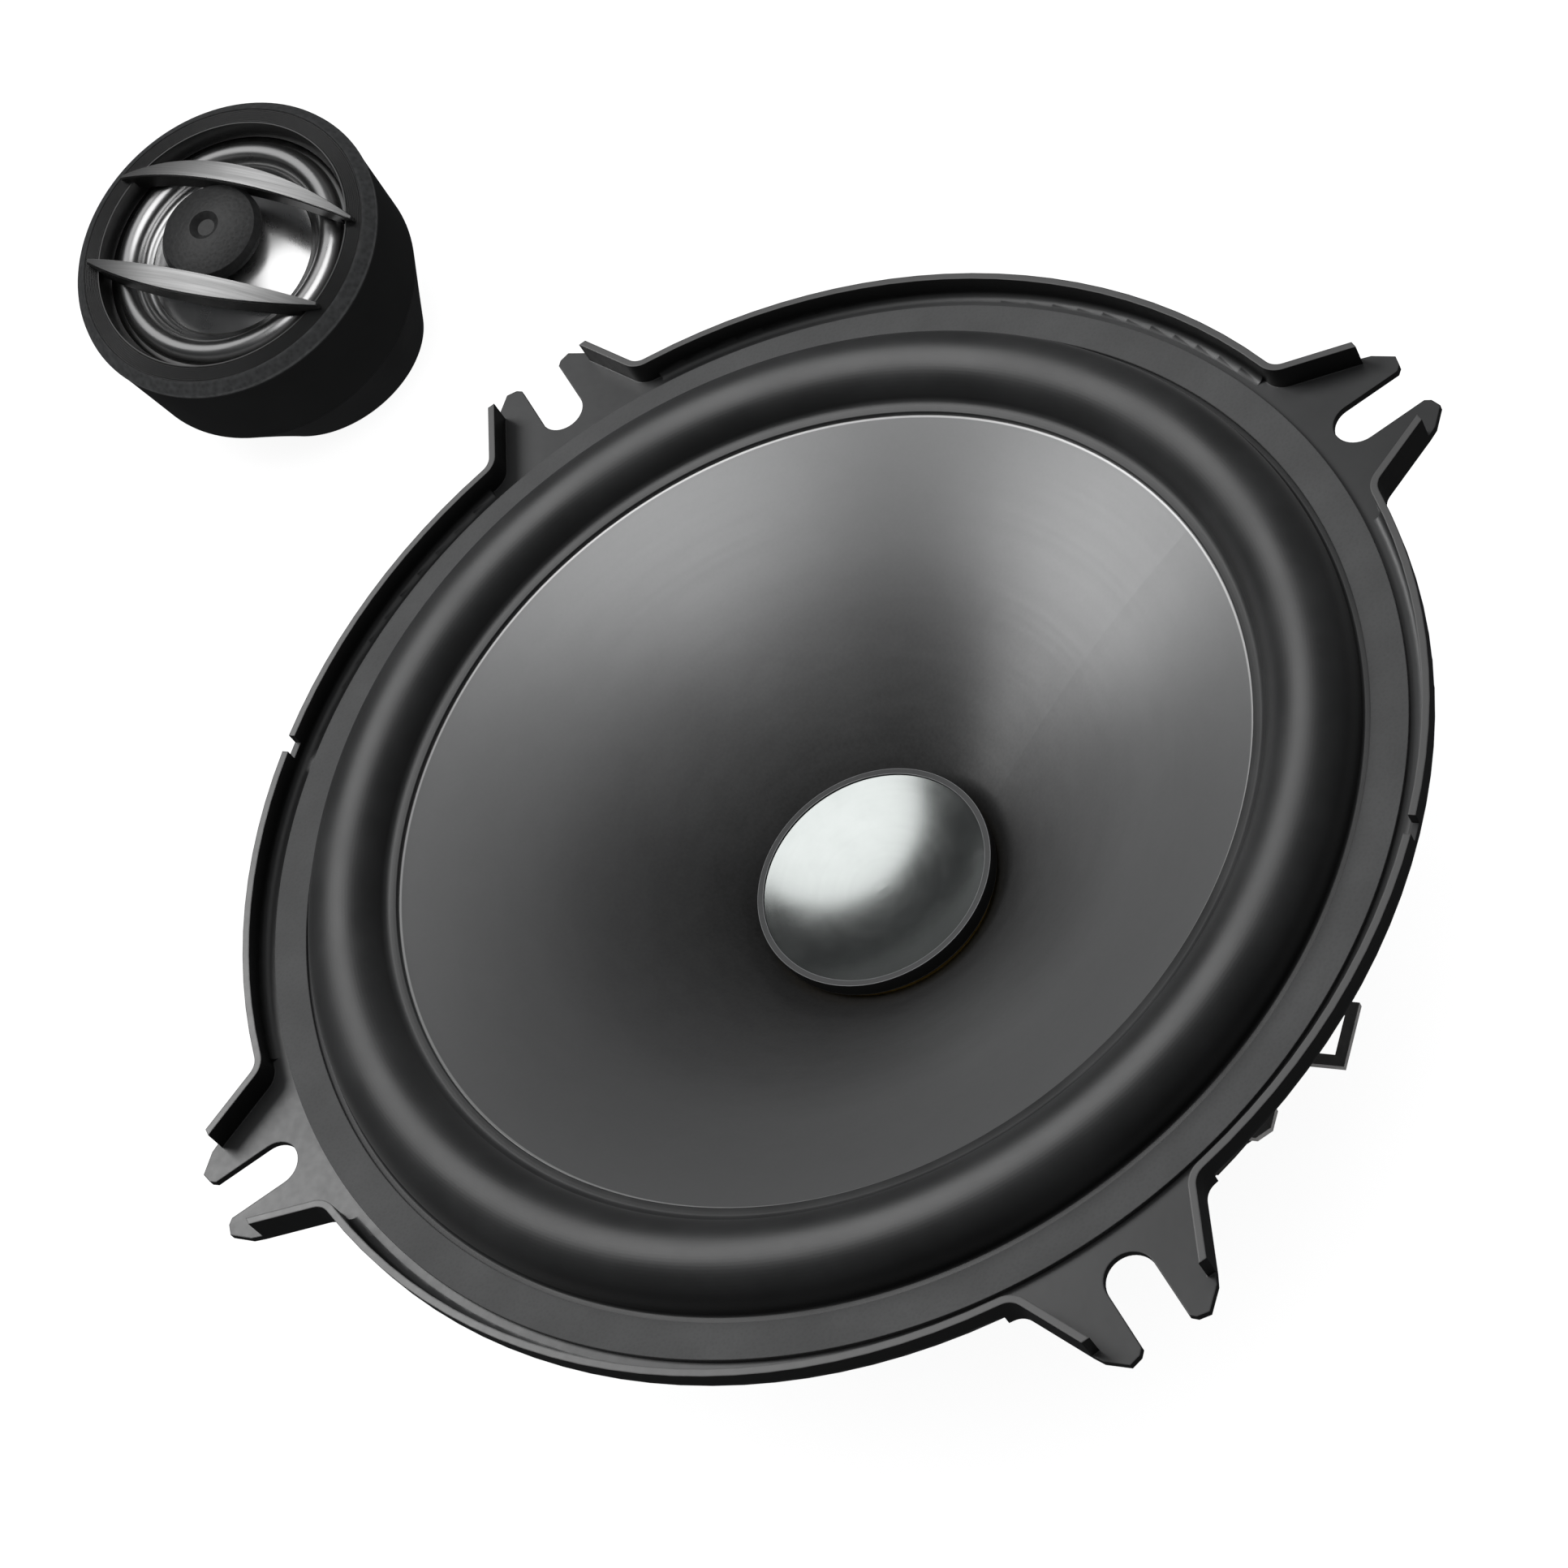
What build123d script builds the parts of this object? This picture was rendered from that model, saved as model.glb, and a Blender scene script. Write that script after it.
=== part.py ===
from build123d import *
from math import cos, pi, radians, sin, sqrt
import os

# Two-way car speaker set: a mid-woofer lying on its magnet and a tweeter in an angled cup beside it.
# Millimetres. +Z points out of the woofer's front. The origin is the centre of the magnet's rear face.
os.makedirs("parts", exist_ok=True)

OVERCUT = 1.0  # how far a cutting shape reaches past the material

# ---------------------------------------------------------------- woofer sizes
EAR_TOP = 48.0  # front face of the ears, above the rear of the magnet
SHEET = 0.8  # pressed steel thickness
EAR_BOTTOM = EAR_TOP - SHEET

LIP_R = 67.0  # outer radius of the folded-up lip
LIP_TOP = EAR_TOP + 3.05
BEND_R = 1.8  # outer radius of the fold between flange and lip
BEND_CENTRE_R = LIP_R - BEND_R
BEND_CENTRE_Z = EAR_BOTTOM + BEND_R

# The basket below the flange, as the inside and outside lines of its pressing (radius, drop below the ears)
BASKET_INSIDE = [(15.5, 27.2), (33.3, 27.2), (34.8, 22.0), (39.5, 22.0), (56.0, 9.0), (57.6, 0.0)]
BASKET_OUTSIDE = [(58.4, 0.8), (56.8, 9.4), (39.9, 22.8), (35.4, 22.8), (33.95, 28.0), (15.5, 28.0)]

EAR_ANGLES = (0, 90, 180, 270)
EAR_ROOT = 61.0  # where the flat ear starts, inside the flange
EAR_SIDE_IN = (62.6, 12.0)  # the ear's straight side, from a point inside the lip circle...
EAR_SIDE_OUT = (74.2, 7.0)  # ...to the end of the side wall
EAR_BEND_R = 2.0  # outside radius of the corner between the lip and the ear's side wall
EAR_OPENING = 12.0  # half width of the gap in the lip that an ear and its two corners fill
EAR_TIP = [(75.4, 6.4), (77.3, 4.45), (77.0, 3.2), (76.4, 2.65)]
SLOT_HALF = 2.65  # half width of the open screw slot
SLOT_CENTRE = 69.65  # centre of the slot's round inner end
SLOT_REACH = 10.0  # length of the cut from that centre outwards

NOTCH_ANGLES = (-45, 135)
NOTCH_WIDTH = 2.1
NOTCH_SHIFT = -0.4
NOTCH_DEPTH = 1.5

WINDOW_ANGLES = (-100, -40, 20, 80, 140, 200)
WINDOW_SPAN = 38.0  # degrees
WINDOW_R = (42.0, 53.5)
WINDOW_DROP = (24.0, 8.0)

GASKET_R = (60.4, 64.3)
GASKET_HEIGHT = 0.63
LAND_R = 62.3  # outer edge of the surround's foot, held under the gasket
LAND_HEIGHT = 0.3
LAND_GAP = 0.05

ROLL_CENTRE_R = 54.7
ROLL_CENTRE_Z = EAR_TOP + 0.66
ROLL_R = 4.8
ROLL_SKIN = 0.5
ROLL_LAND_R = 48.6  # inner edge of the surround's inner land
ROLL_LAND_Z = EAR_TOP + 1.8

CONE_EDGE_R = 50.0
CONE_FLAT_R = 48.5
CONE_EDGE_Z = EAR_TOP + 1.27
CONE_MIDDLE = (30.9, EAR_TOP - 7.8)
CONE_NECK_R = 13.02
CONE_NECK_Z = EAR_TOP - 20.9
CONE_THICKNESS = 0.7  # measured along Z

FORMER_R = (12.7, 13.0)
FORMER_TOP = EAR_TOP - 18.15
FORMER_BOTTOM = EAR_TOP - 37.0
WINDING_R = 13.6
WINDING_TOP = EAR_TOP - 25.3
WINDING_BOTTOM = EAR_TOP - 35.3

CAP_RING_R = (13.02, 13.7)
CAP_RING_TOP = EAR_TOP - 17.4
CAP_RING_BOTTOM = EAR_TOP - 19.5
CAP_R = 13.0
CAP_EDGE_Z = EAR_TOP - 17.72
CAP_HOLLOW = 2.75  # how far the dished cap sinks at its centre
CAP_THICKNESS = 0.3

SPIDER_COLLAR_R = (13.02, 15.2)
SPIDER_RIM_R = (34.8, 38.5)
SPIDER_SHELF_Z = EAR_TOP - 22.0
SPIDER_THICKNESS = 0.4
SPIDER_WAVES = 5
SPIDER_WAVE_HEIGHT = 0.9
SPIDER_STEPS = 60
SPIDER_COLLAR_HEIGHT = 1.2

TOP_PLATE_R = (14.0, 31.0)
TOP_PLATE_Z = (15.2, 20.0)
MAGNET_R = (16.0, 35.0)
MAGNET_Z = (5.2, 15.2)
BACK_PLATE_R = 33.0
SPIGOT_R = 11.0
POLE_R = 12.2
POLE_TOP = 21.0
PLATE_CHAMFER = 0.8

RIVET_CIRCLE = 24.0
RIVET_COUNT = 4
RIVET_START = 45.0  # degrees
RIVET_R = 1.5
RIVET_HEAD_R = 2.6
RIVET_HEAD = 1.0
RIVET_DEPTH = 2.5
RIVET_GAP = 0.03

# The terminal board stands outside the basket, between two ears, with its tabs pointing along -45 degrees
TERMINAL_ANGLE = -45.0
BRACKET_TOP = EAR_TOP - 16.8
BRACKET_V = (-30.5, -10.5)
BRACKET_OUT = 52.6
BRACKET_WALL_R = 46.3
BRACKET_ROUND_R = 56.9  # its outer corners follow the basket's round
BOARD_V = (-31.0, -10.0)
BOARD_OUT = 53.4
BOARD_WALL_R = 49.6
BOARD_ROUND_R = 57.2
BOARD_THICKNESS = 1.6
TAB_THICKNESS = 0.8
PLUS_V = (-18.7, -11.5)
PLUS_U = (49.4, 59.4)
PLUS_FRAME = 1.2
PLUS_WINDOW_U = 54.6
MINUS_V = (-27.4, -22.6)
MINUS_U = (45.9, 53.5)
MINUS_CORNER = 1.3
TERMINAL_RIVET_R = 1.2
TERMINAL_RIVET_HEAD_R = 1.9
TERMINAL_RIVET_HEAD = 0.5
PLUS_RIVET_U = 51.7
MINUS_RIVET_U = 48.9
LEAD_WINDOW_V = (-30.5, -11.0)
LEAD_WINDOW_U = (34.0, 54.0)
LEAD_WINDOW_DROP = (15.1, 11.4)
LEAD_R = 0.6
LEAD_END_GAP = 1.0
CONE_SLOPE = 0.68  # rise of the cone per unit of radius near the leads
LEAD_ARCH = 0.6  # how far a lead rises above its tab before it falls
LEAD_FALL = 1.0
LEAD_SAG = 0.6  # how far it hangs below its joint on the cone
# Each lead's points as distances along and across the terminal frame
LEAD_PLUS = [(49.4, -15.1), (45.0, -13.6), (38.0, -10.1), (28.0, -5.0), (20.0, -2.0)]
LEAD_MINUS = [(46.9, -25.0), (41.0, -25.2), (34.0, -23.4), (24.0, -16.0), (16.0, -12.0)]

# ---------------------------------------------------------------- tweeter sizes
CUP_FOOT = (-24.4, 155.4)  # centre of the cup's foot on the mounting surface
FRONT_CENTRE = (-26.97, 153.82, 28.94)  # centre of the rim, on the tweeter's own axis
LEAN = 12.3  # degrees between the tweeter's axis and +Z
LEAN_HEADING = -99.6  # compass direction of the lean, from +X
BAR_ANGLE = -41.6

CUP_FOOT_R = 14.1
CUP_BORE_R = 12.45
CUP_BORE_HEIGHT = 2.2
CUP_SEAM_R = 21.7
CUP_WALL = 1.6
SEAM_DROP = 15.3  # from the rim plane to the joint between housing and cup

BASE_PLATE_R = 12.38
BASE_PLATE_HEIGHT = 2.0
SCREW_SPACING = 15.0
SCREW_HOLE_R = 1.6
SCREW_HEAD_R = 3.0
GROMMET_HOLE_R = 2.6
GROMMET_BORE_R = 1.4
GROMMET_FLANGE_R = 3.6
GROMMET_FLANGE = 0.8

HOUSING_PROFILE = [
    (21.7, -15.3), (22.5, -1.1), (22.62, -0.5), (22.5, -0.05), (21.4, 0.82), (20.95, 1.0),
    (20.95, -0.6), (20.4, -0.6), (20.1, -15.3),
]
RING_R = (18.75, 20.9)
RING_TOP = (1.3, 0.95)  # height of the grooved face at its inner and outer edge
RING_GROOVES = 8
RING_GROOVE_DEPTH = 0.1
RING_THROAT = [(18.6, 1.2), (17.95, -1.5), (20.3, -1.5), (20.3, -0.6), (20.9, -0.6)]

TOP_SPHERE_R = 46.8  # the bars' top faces lie on this sphere
TOP_SPHERE_APEX = 6.77
TRIM_THICKNESS = 0.45
BAR_DEPTH = 3.0
BAR_HALF = 19.0
BAR_CHORD = 6.6  # distance of a bar's tips from the centre line
BAR_OUTER = 10.0
BAR_INNER = 6.85
BAR_TIP = 0.25
BAR_FOOT_R = 18.1
BAR_FOOT_Z = 1.33
TRIM_INSET = 0.12
GUARD_REACH = 9.0
GUARD_LOW = -0.6

DISC_R = 7.4
DISC_FLAT_R = 6.85
DISC_UNDERSIDE = 3.4
DISC_EDGE = (4.0, 4.9)
DISC_CROWN = (4.6, 5.79)
DISC_DIMPLE_R = (1.25, 2.15)
DISC_DIMPLE_Z = (5.6, 6.4)

FOIL = 0.15
EDGE_ROLL_CENTRE_R = 15.3
EDGE_ROLL_R = 1.75
EDGE_ROLL_Z = -1.75
EDGE_LAND_R = 19.6
EDGE_LAND_Z = -1.85
EDGE_INNER = [(13.2, -2.25), (12.75, -2.5), (12.05, -2.5)]
DOME_R = 12.0
DOME_EDGE_Z = -2.5
DOME_RISE = 3.4
T_FORMER_R = (12.05, 12.15)
T_FORMER_Z = (-7.2, -2.7)
T_WINDING_R = 12.5
T_WINDING_Z = (-6.4, -3.6)
YOKE_R = (13.2, 15.0)
YOKE_Z = (-12.2, -3.6)
YOKE_FLOOR = -10.5
T_MAGNET_R = 10.8
POLE_CAP_R = 11.5
POLE_CAP_Z = (-6.0, -3.8)
CHASSIS_PROFILE = [
    (20.3, -2.02), (17.25, -2.02), (17.25, -3.6), (15.05, -3.6), (15.05, -8.0), (16.8, -8.0),
    (16.8, -4.8), (20.0, -4.8), (20.3, -4.0),
]
T_TAB_ANGLES = (60, 120)
T_TAB_R = 18.4
T_TAB_SIZE = (2.8, 0.5, 5.0)

# ---------------------------------------------------------------- frames and shared shapes
CENTRE = Plane.XY
TERMINAL_FRAME = Plane(
    origin=(0, 0, BRACKET_TOP),
    x_dir=(cos(radians(TERMINAL_ANGLE)), sin(radians(TERMINAL_ANGLE)), 0),
    z_dir=(0, 0, 1),
)
AXIS_LEAN = Vector(
    sin(radians(LEAN)) * cos(radians(LEAN_HEADING)),
    sin(radians(LEAN)) * sin(radians(LEAN_HEADING)),
    cos(radians(LEAN)),
)
RIM = Plane(
    origin=FRONT_CENTRE,
    x_dir=(cos(radians(LEAN_HEADING + 90)), sin(radians(LEAN_HEADING + 90)), 0),
    z_dir=AXIS_LEAN,
)
TWEETER_AXIS = Axis(RIM.origin, RIM.z_dir)
SEAM = RIM.offset(-SEAM_DROP)
GUARD_SPHERE = RIM.offset(TOP_SPHERE_APEX - TOP_SPHERE_R)
FOOT = Plane(origin=(CUP_FOOT[0], CUP_FOOT[1], 0), x_dir=(1, 0, 0), z_dir=(0, 0, 1))


def side_of(frame):
    """The plane through a frame's axis in which radius and height are drawn."""
    return Plane(origin=frame.origin, x_dir=frame.x_dir, z_dir=-frame.y_dir)


def outline(frame, points):
    """A closed outline of (radius, height) points, drawn in the plane through the frame's axis."""
    with BuildSketch(side_of(frame)) as shape:
        with BuildLine():
            Polyline(*points, close=True)
        make_face()
    return shape.sketch


def washer(frame, inner, outer, low, high):
    """The outline of a flat ring between two radii and two heights."""
    return outline(frame, [(inner, low), (outer, low), (outer, high), (inner, high)])


def rectangle(frame, u_range, v_range):
    """A rectangle on a frame between two distances along X and two along Y."""
    with BuildSketch(frame) as shape:
        with Locations(((u_range[0] + u_range[1]) / 2, (v_range[0] + v_range[1]) / 2)):
            Rectangle(u_range[1] - u_range[0], v_range[1] - v_range[0])
    return shape.sketch


def ear_plan():
    """The lip's circle with one ear, seen from the front, and rounded corners where they meet."""
    ear_half = [EAR_SIDE_IN, EAR_SIDE_OUT, *EAR_TIP]
    ear_other_half = [(radius, -offset_y) for radius, offset_y in reversed(ear_half)]
    with BuildSketch() as plan:
        Circle(LIP_R)
        with BuildLine():
            Polyline(*ear_half, *ear_other_half, close=True)
        make_face()
        corners = plan.vertices().filter_by_position(Axis.X, EAR_ROOT, LIP_R)
        fillet(corners, EAR_BEND_R)
    return plan.sketch


def turned(frame, angle):
    """A frame turned about its own Z axis."""
    x_dir = frame.x_dir.rotate(Axis(frame.origin, frame.z_dir), angle)
    return Plane(origin=frame.origin, x_dir=x_dir, z_dir=frame.z_dir)


def below_ears(points):
    """Turn (radius, drop below the ears) into (radius, height)."""
    return [(radius, EAR_TOP - drop) for radius, drop in points]


def bar_plan(turn, inset):
    """One crescent bar seen from the front: nearly straight inner edge, bowed outer edge, blunt tips."""
    with BuildSketch(turned(RIM, turn)) as plan:
        with BuildLine():
            half = BAR_HALF - 2 * inset
            low, high = BAR_CHORD - BAR_TIP + inset / 2, BAR_CHORD + BAR_TIP - inset / 2
            ThreePointArc((-half, high), (0, BAR_OUTER - inset), (half, high))
            Line((half, high), (half, low))
            ThreePointArc((half, low), (0, BAR_INNER + inset), (-half, low))
            Line((-half, low), (-half, high))
        make_face()
    return plan.sketch


# ---------------------------------------------------------------- basket
with BuildPart() as basket:
    with BuildSketch(Plane.XZ):
        with BuildLine():
            CenterArc((BEND_CENTRE_R, BEND_CENTRE_Z), BEND_R - SHEET, 270, 90)
            Polyline(
                (LIP_R - SHEET, BEND_CENTRE_Z),
                (LIP_R - SHEET, LIP_TOP),
                (LIP_R, LIP_TOP),
                (LIP_R, BEND_CENTRE_Z),
            )
            CenterArc((BEND_CENTRE_R, BEND_CENTRE_Z), BEND_R, 270, 90)
            Polyline(
                (BEND_CENTRE_R, EAR_BOTTOM), *below_ears(BASKET_OUTSIDE), *below_ears(BASKET_INSIDE),
                (BEND_CENTRE_R, EAR_TOP)
            )
        make_face()
    revolve(axis=Axis.Z)
    # the lip is open across each ear
    with BuildSketch(Plane.XY.offset(EAR_TOP)):
        with PolarLocations(0, len(EAR_ANGLES)):
            with Locations((LIP_R, 0)):
                Rectangle(2 * (LIP_R - EAR_ROOT), 2 * EAR_OPENING)
    extrude(amount=LIP_TOP - EAR_TOP + OVERCUT, mode=Mode.SUBTRACT)
    # flat ears, with side walls that carry the lip out along each ear
    ear_plate = ear_plan()
    ear_inside = offset(ear_plate, amount=-SHEET, kind=Kind.INTERSECTION, mode=Mode.PRIVATE)
    for angle in EAR_ANGLES:
        ear_frame = Plane.XY.offset(EAR_BOTTOM).rotated((0, 0, angle))
        with BuildSketch(ear_frame):
            add(ear_plate)
            with Locations((LIP_R + EAR_ROOT, 0)):
                Rectangle(2 * LIP_R, 2 * EAR_OPENING, mode=Mode.INTERSECT)
        extrude(amount=SHEET)
        with BuildSketch(ear_frame):
            add(ear_plate)
            add(ear_inside, mode=Mode.SUBTRACT)
            with Locations(((EAR_ROOT + EAR_SIDE_OUT[0]) / 2, 0)):
                Rectangle(EAR_SIDE_OUT[0] - EAR_ROOT, 2 * EAR_OPENING, mode=Mode.INTERSECT)
        extrude(amount=LIP_TOP - EAR_BOTTOM)
    # bracket for the terminal board
    with BuildSketch(TERMINAL_FRAME):
        add(rectangle(CENTRE, (LEAD_WINDOW_U[0], BRACKET_OUT), BRACKET_V))
        Circle(BRACKET_ROUND_R, mode=Mode.INTERSECT)
        Circle(BRACKET_WALL_R, mode=Mode.SUBTRACT)
    extrude(amount=-SHEET)
    # open screw slots
    with BuildSketch(Plane.XY.offset(EAR_BOTTOM - OVERCUT)):
        with PolarLocations(0, len(EAR_ANGLES)):
            with Locations((SLOT_CENTRE, 0)):
                Circle(SLOT_HALF)
            with Locations((SLOT_CENTRE + SLOT_REACH / 2, 0)):
                Rectangle(SLOT_REACH, 2 * SLOT_HALF)
    extrude(amount=SHEET + 2 * OVERCUT, mode=Mode.SUBTRACT)
    # notches in the lip
    for angle in NOTCH_ANGLES:
        with BuildSketch(Plane.XY.offset(LIP_TOP - NOTCH_DEPTH).rotated((0, 0, angle))):
            with Locations((LIP_R, NOTCH_SHIFT)):
                Rectangle(BEND_R * 2, NOTCH_WIDTH)
        extrude(amount=NOTCH_DEPTH + OVERCUT, mode=Mode.SUBTRACT)
    # vent windows
    for angle in WINDOW_ANGLES:
        opening = washer(
            CENTRE.rotated((0, 0, angle - WINDOW_SPAN / 2)),
            WINDOW_R[0],
            WINDOW_R[1],
            EAR_TOP - WINDOW_DROP[0],
            EAR_TOP - WINDOW_DROP[1],
        )
        revolve(opening, axis=Axis.Z, revolution_arc=WINDOW_SPAN, mode=Mode.SUBTRACT)
    # slot behind the terminal board for the leads
    with BuildSketch(TERMINAL_FRAME.offset(EAR_TOP - LEAD_WINDOW_DROP[0] - BRACKET_TOP)):
        add(rectangle(CENTRE, LEAD_WINDOW_U, LEAD_WINDOW_V))
    extrude(amount=LEAD_WINDOW_DROP[0] - LEAD_WINDOW_DROP[1], mode=Mode.SUBTRACT)
    # rivet holes
    with BuildSketch(Plane.XY.offset(TOP_PLATE_Z[1] - OVERCUT)):
        with PolarLocations(RIVET_CIRCLE, RIVET_COUNT, start_angle=RIVET_START):
            Circle(RIVET_R + RIVET_GAP)
    extrude(amount=SHEET + 2 * OVERCUT, mode=Mode.SUBTRACT)
    with BuildSketch(TERMINAL_FRAME.offset(-2 * SHEET)):
        with Locations((PLUS_RIVET_U, sum(PLUS_V) / 2), (MINUS_RIVET_U, sum(MINUS_V) / 2)):
            Circle(TERMINAL_RIVET_R + RIVET_GAP)
    extrude(amount=3 * SHEET, mode=Mode.SUBTRACT)
basket.part.label = "basket"
export_step(basket.part, "parts/basket.step")

# ---------------------------------------------------------------- fastening the basket to the motor
with BuildPart() as basket_rivets:
    with PolarLocations(RIVET_CIRCLE, RIVET_COUNT, start_angle=RIVET_START):
        with Locations((0, 0, TOP_PLATE_Z[1] - RIVET_DEPTH)):
            Cylinder(RIVET_R, RIVET_DEPTH + SHEET, align=(Align.CENTER, Align.CENTER, Align.MIN))
        with Locations((0, 0, TOP_PLATE_Z[1] + SHEET)):
            Cylinder(RIVET_HEAD_R, RIVET_HEAD, align=(Align.CENTER, Align.CENTER, Align.MIN))
basket_rivets.part.label = "basket_rivets"
export_step(basket_rivets.part, "parts/basket_rivets.step")

# ---------------------------------------------------------------- front gasket
with BuildPart() as front_gasket:
    gasket_top = EAR_TOP + GASKET_HEIGHT
    rebate = EAR_TOP + LAND_HEIGHT + LAND_GAP
    revolve(
        outline(
            CENTRE,
            [
                (GASKET_R[0], rebate), (LAND_R + LAND_GAP, rebate), (LAND_R + LAND_GAP, EAR_TOP),
                (GASKET_R[1], EAR_TOP), (GASKET_R[1], gasket_top), (GASKET_R[0], gasket_top),
            ],
        ),
        axis=Axis.Z,
    )
front_gasket.part.label = "front_gasket"
export_step(front_gasket.part, "parts/front_gasket.step")

# ---------------------------------------------------------------- surround
with BuildPart() as surround:
    land_bottom = ROLL_LAND_Z - ROLL_SKIN
    inner_roll_r = ROLL_R - ROLL_SKIN
    outer_start = (ROLL_CENTRE_R + ROLL_R, ROLL_CENTRE_Z)
    outer_end = (ROLL_CENTRE_R - sqrt(ROLL_R**2 - (ROLL_LAND_Z - ROLL_CENTRE_Z) ** 2), ROLL_LAND_Z)
    inner_start = (ROLL_CENTRE_R - sqrt(inner_roll_r**2 - (land_bottom - ROLL_CENTRE_Z) ** 2), land_bottom)
    inner_end = (ROLL_CENTRE_R + inner_roll_r, ROLL_CENTRE_Z)
    with BuildSketch(Plane.XZ):
        with BuildLine():
            Polyline(
                (inner_end[0], EAR_TOP), (LAND_R, EAR_TOP), (LAND_R, EAR_TOP + LAND_HEIGHT),
                (outer_start[0], EAR_TOP + LAND_HEIGHT), outer_start,
            )
            ThreePointArc(outer_start, (ROLL_CENTRE_R, ROLL_CENTRE_Z + ROLL_R), outer_end)
            Polyline(outer_end, (ROLL_LAND_R, ROLL_LAND_Z), (ROLL_LAND_R, land_bottom), inner_start)
            ThreePointArc(inner_start, (ROLL_CENTRE_R, ROLL_CENTRE_Z + inner_roll_r), inner_end)
            Line(inner_end, (inner_end[0], EAR_TOP))
        make_face()
    revolve(axis=Axis.Z)
surround.part.label = "surround"
export_step(surround.part, "parts/surround.step")

# ---------------------------------------------------------------- cone
with BuildPart() as cone:
    cone_top = [(CONE_FLAT_R, CONE_EDGE_Z), CONE_MIDDLE, (CONE_NECK_R, CONE_NECK_Z)]
    cone_under = [(radius, height - CONE_THICKNESS) for radius, height in reversed(cone_top)]
    with BuildSketch(Plane.XZ):
        with BuildLine():
            ThreePointArc(*cone_top)
            Line(cone_top[-1], cone_under[0])
            ThreePointArc(*cone_under)
            Polyline(
                cone_under[-1],
                (CONE_EDGE_R, CONE_EDGE_Z - CONE_THICKNESS),
                (CONE_EDGE_R, CONE_EDGE_Z),
                cone_top[0],
            )
        make_face()
    revolve(axis=Axis.Z)
cone.part.label = "cone"
export_step(cone.part, "parts/cone.step")

# ---------------------------------------------------------------- dust cap and its ring
with BuildPart() as dust_cap:
    with BuildSketch(Plane.XZ):
        with BuildLine():
            cap_sphere_r = (CAP_R**2 + CAP_HOLLOW**2) / (2 * CAP_HOLLOW)
            half_r = CAP_R / 2
            half_z = CAP_EDGE_Z - CAP_HOLLOW + cap_sphere_r - sqrt(cap_sphere_r**2 - half_r**2)
            centre_z = CAP_EDGE_Z - CAP_HOLLOW
            ThreePointArc((0, centre_z), (half_r, half_z), (CAP_R, CAP_EDGE_Z))
            Line((CAP_R, CAP_EDGE_Z), (CAP_R, CAP_EDGE_Z - CAP_THICKNESS))
            ThreePointArc(
                (CAP_R, CAP_EDGE_Z - CAP_THICKNESS),
                (half_r, half_z - CAP_THICKNESS),
                (0, centre_z - CAP_THICKNESS),
            )
            Line((0, centre_z - CAP_THICKNESS), (0, centre_z))
        make_face()
    revolve(axis=Axis.Z)
dust_cap.part.label = "dust_cap"
export_step(dust_cap.part, "parts/dust_cap.step")

with BuildPart() as dust_cap_ring:
    revolve(washer(CENTRE, CAP_RING_R[0], CAP_RING_R[1], CAP_RING_BOTTOM, CAP_RING_TOP), axis=Axis.Z)
dust_cap_ring.part.label = "dust_cap_ring"
export_step(dust_cap_ring.part, "parts/dust_cap_ring.step")

# ---------------------------------------------------------------- voice coil
with BuildPart() as voice_coil_former:
    revolve(washer(CENTRE, FORMER_R[0], FORMER_R[1], FORMER_BOTTOM, FORMER_TOP), axis=Axis.Z)
voice_coil_former.part.label = "voice_coil_former"
export_step(voice_coil_former.part, "parts/voice_coil_former.step")

with BuildPart() as voice_coil_winding:
    revolve(washer(CENTRE, FORMER_R[1], WINDING_R, WINDING_BOTTOM, WINDING_TOP), axis=Axis.Z)
voice_coil_winding.part.label = "voice_coil_winding"
export_step(voice_coil_winding.part, "parts/voice_coil_winding.step")

# ---------------------------------------------------------------- spider
with BuildPart() as spider:
    wave_start, wave_end = SPIDER_COLLAR_R[1], SPIDER_RIM_R[0]
    wave_under = []
    for step in range(SPIDER_STEPS + 1):
        share = step / SPIDER_STEPS
        rise = SPIDER_WAVE_HEIGHT * sin(2 * pi * SPIDER_WAVES * share)
        wave_under.append((wave_start + (wave_end - wave_start) * share, SPIDER_SHELF_Z + rise))
    wave_over = [(radius, height + SPIDER_THICKNESS) for radius, height in wave_under]
    with BuildSketch(Plane.XZ):
        with BuildLine():
            Spline(*wave_under)
            Polyline(
                wave_under[-1],
                (SPIDER_RIM_R[1], SPIDER_SHELF_Z),
                (SPIDER_RIM_R[1], SPIDER_SHELF_Z + SPIDER_THICKNESS),
                wave_over[-1],
            )
            Spline(*reversed(wave_over))
            Polyline(
                wave_over[0],
                (SPIDER_COLLAR_R[0], SPIDER_SHELF_Z + SPIDER_THICKNESS),
                (SPIDER_COLLAR_R[0], SPIDER_SHELF_Z - SPIDER_COLLAR_HEIGHT),
                (SPIDER_COLLAR_R[0] + SPIDER_THICKNESS, SPIDER_SHELF_Z - SPIDER_COLLAR_HEIGHT),
                (SPIDER_COLLAR_R[0] + SPIDER_THICKNESS, SPIDER_SHELF_Z),
                wave_under[0],
            )
        make_face()
    revolve(axis=Axis.Z)
spider.part.label = "spider"
export_step(spider.part, "parts/spider.step")

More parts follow.
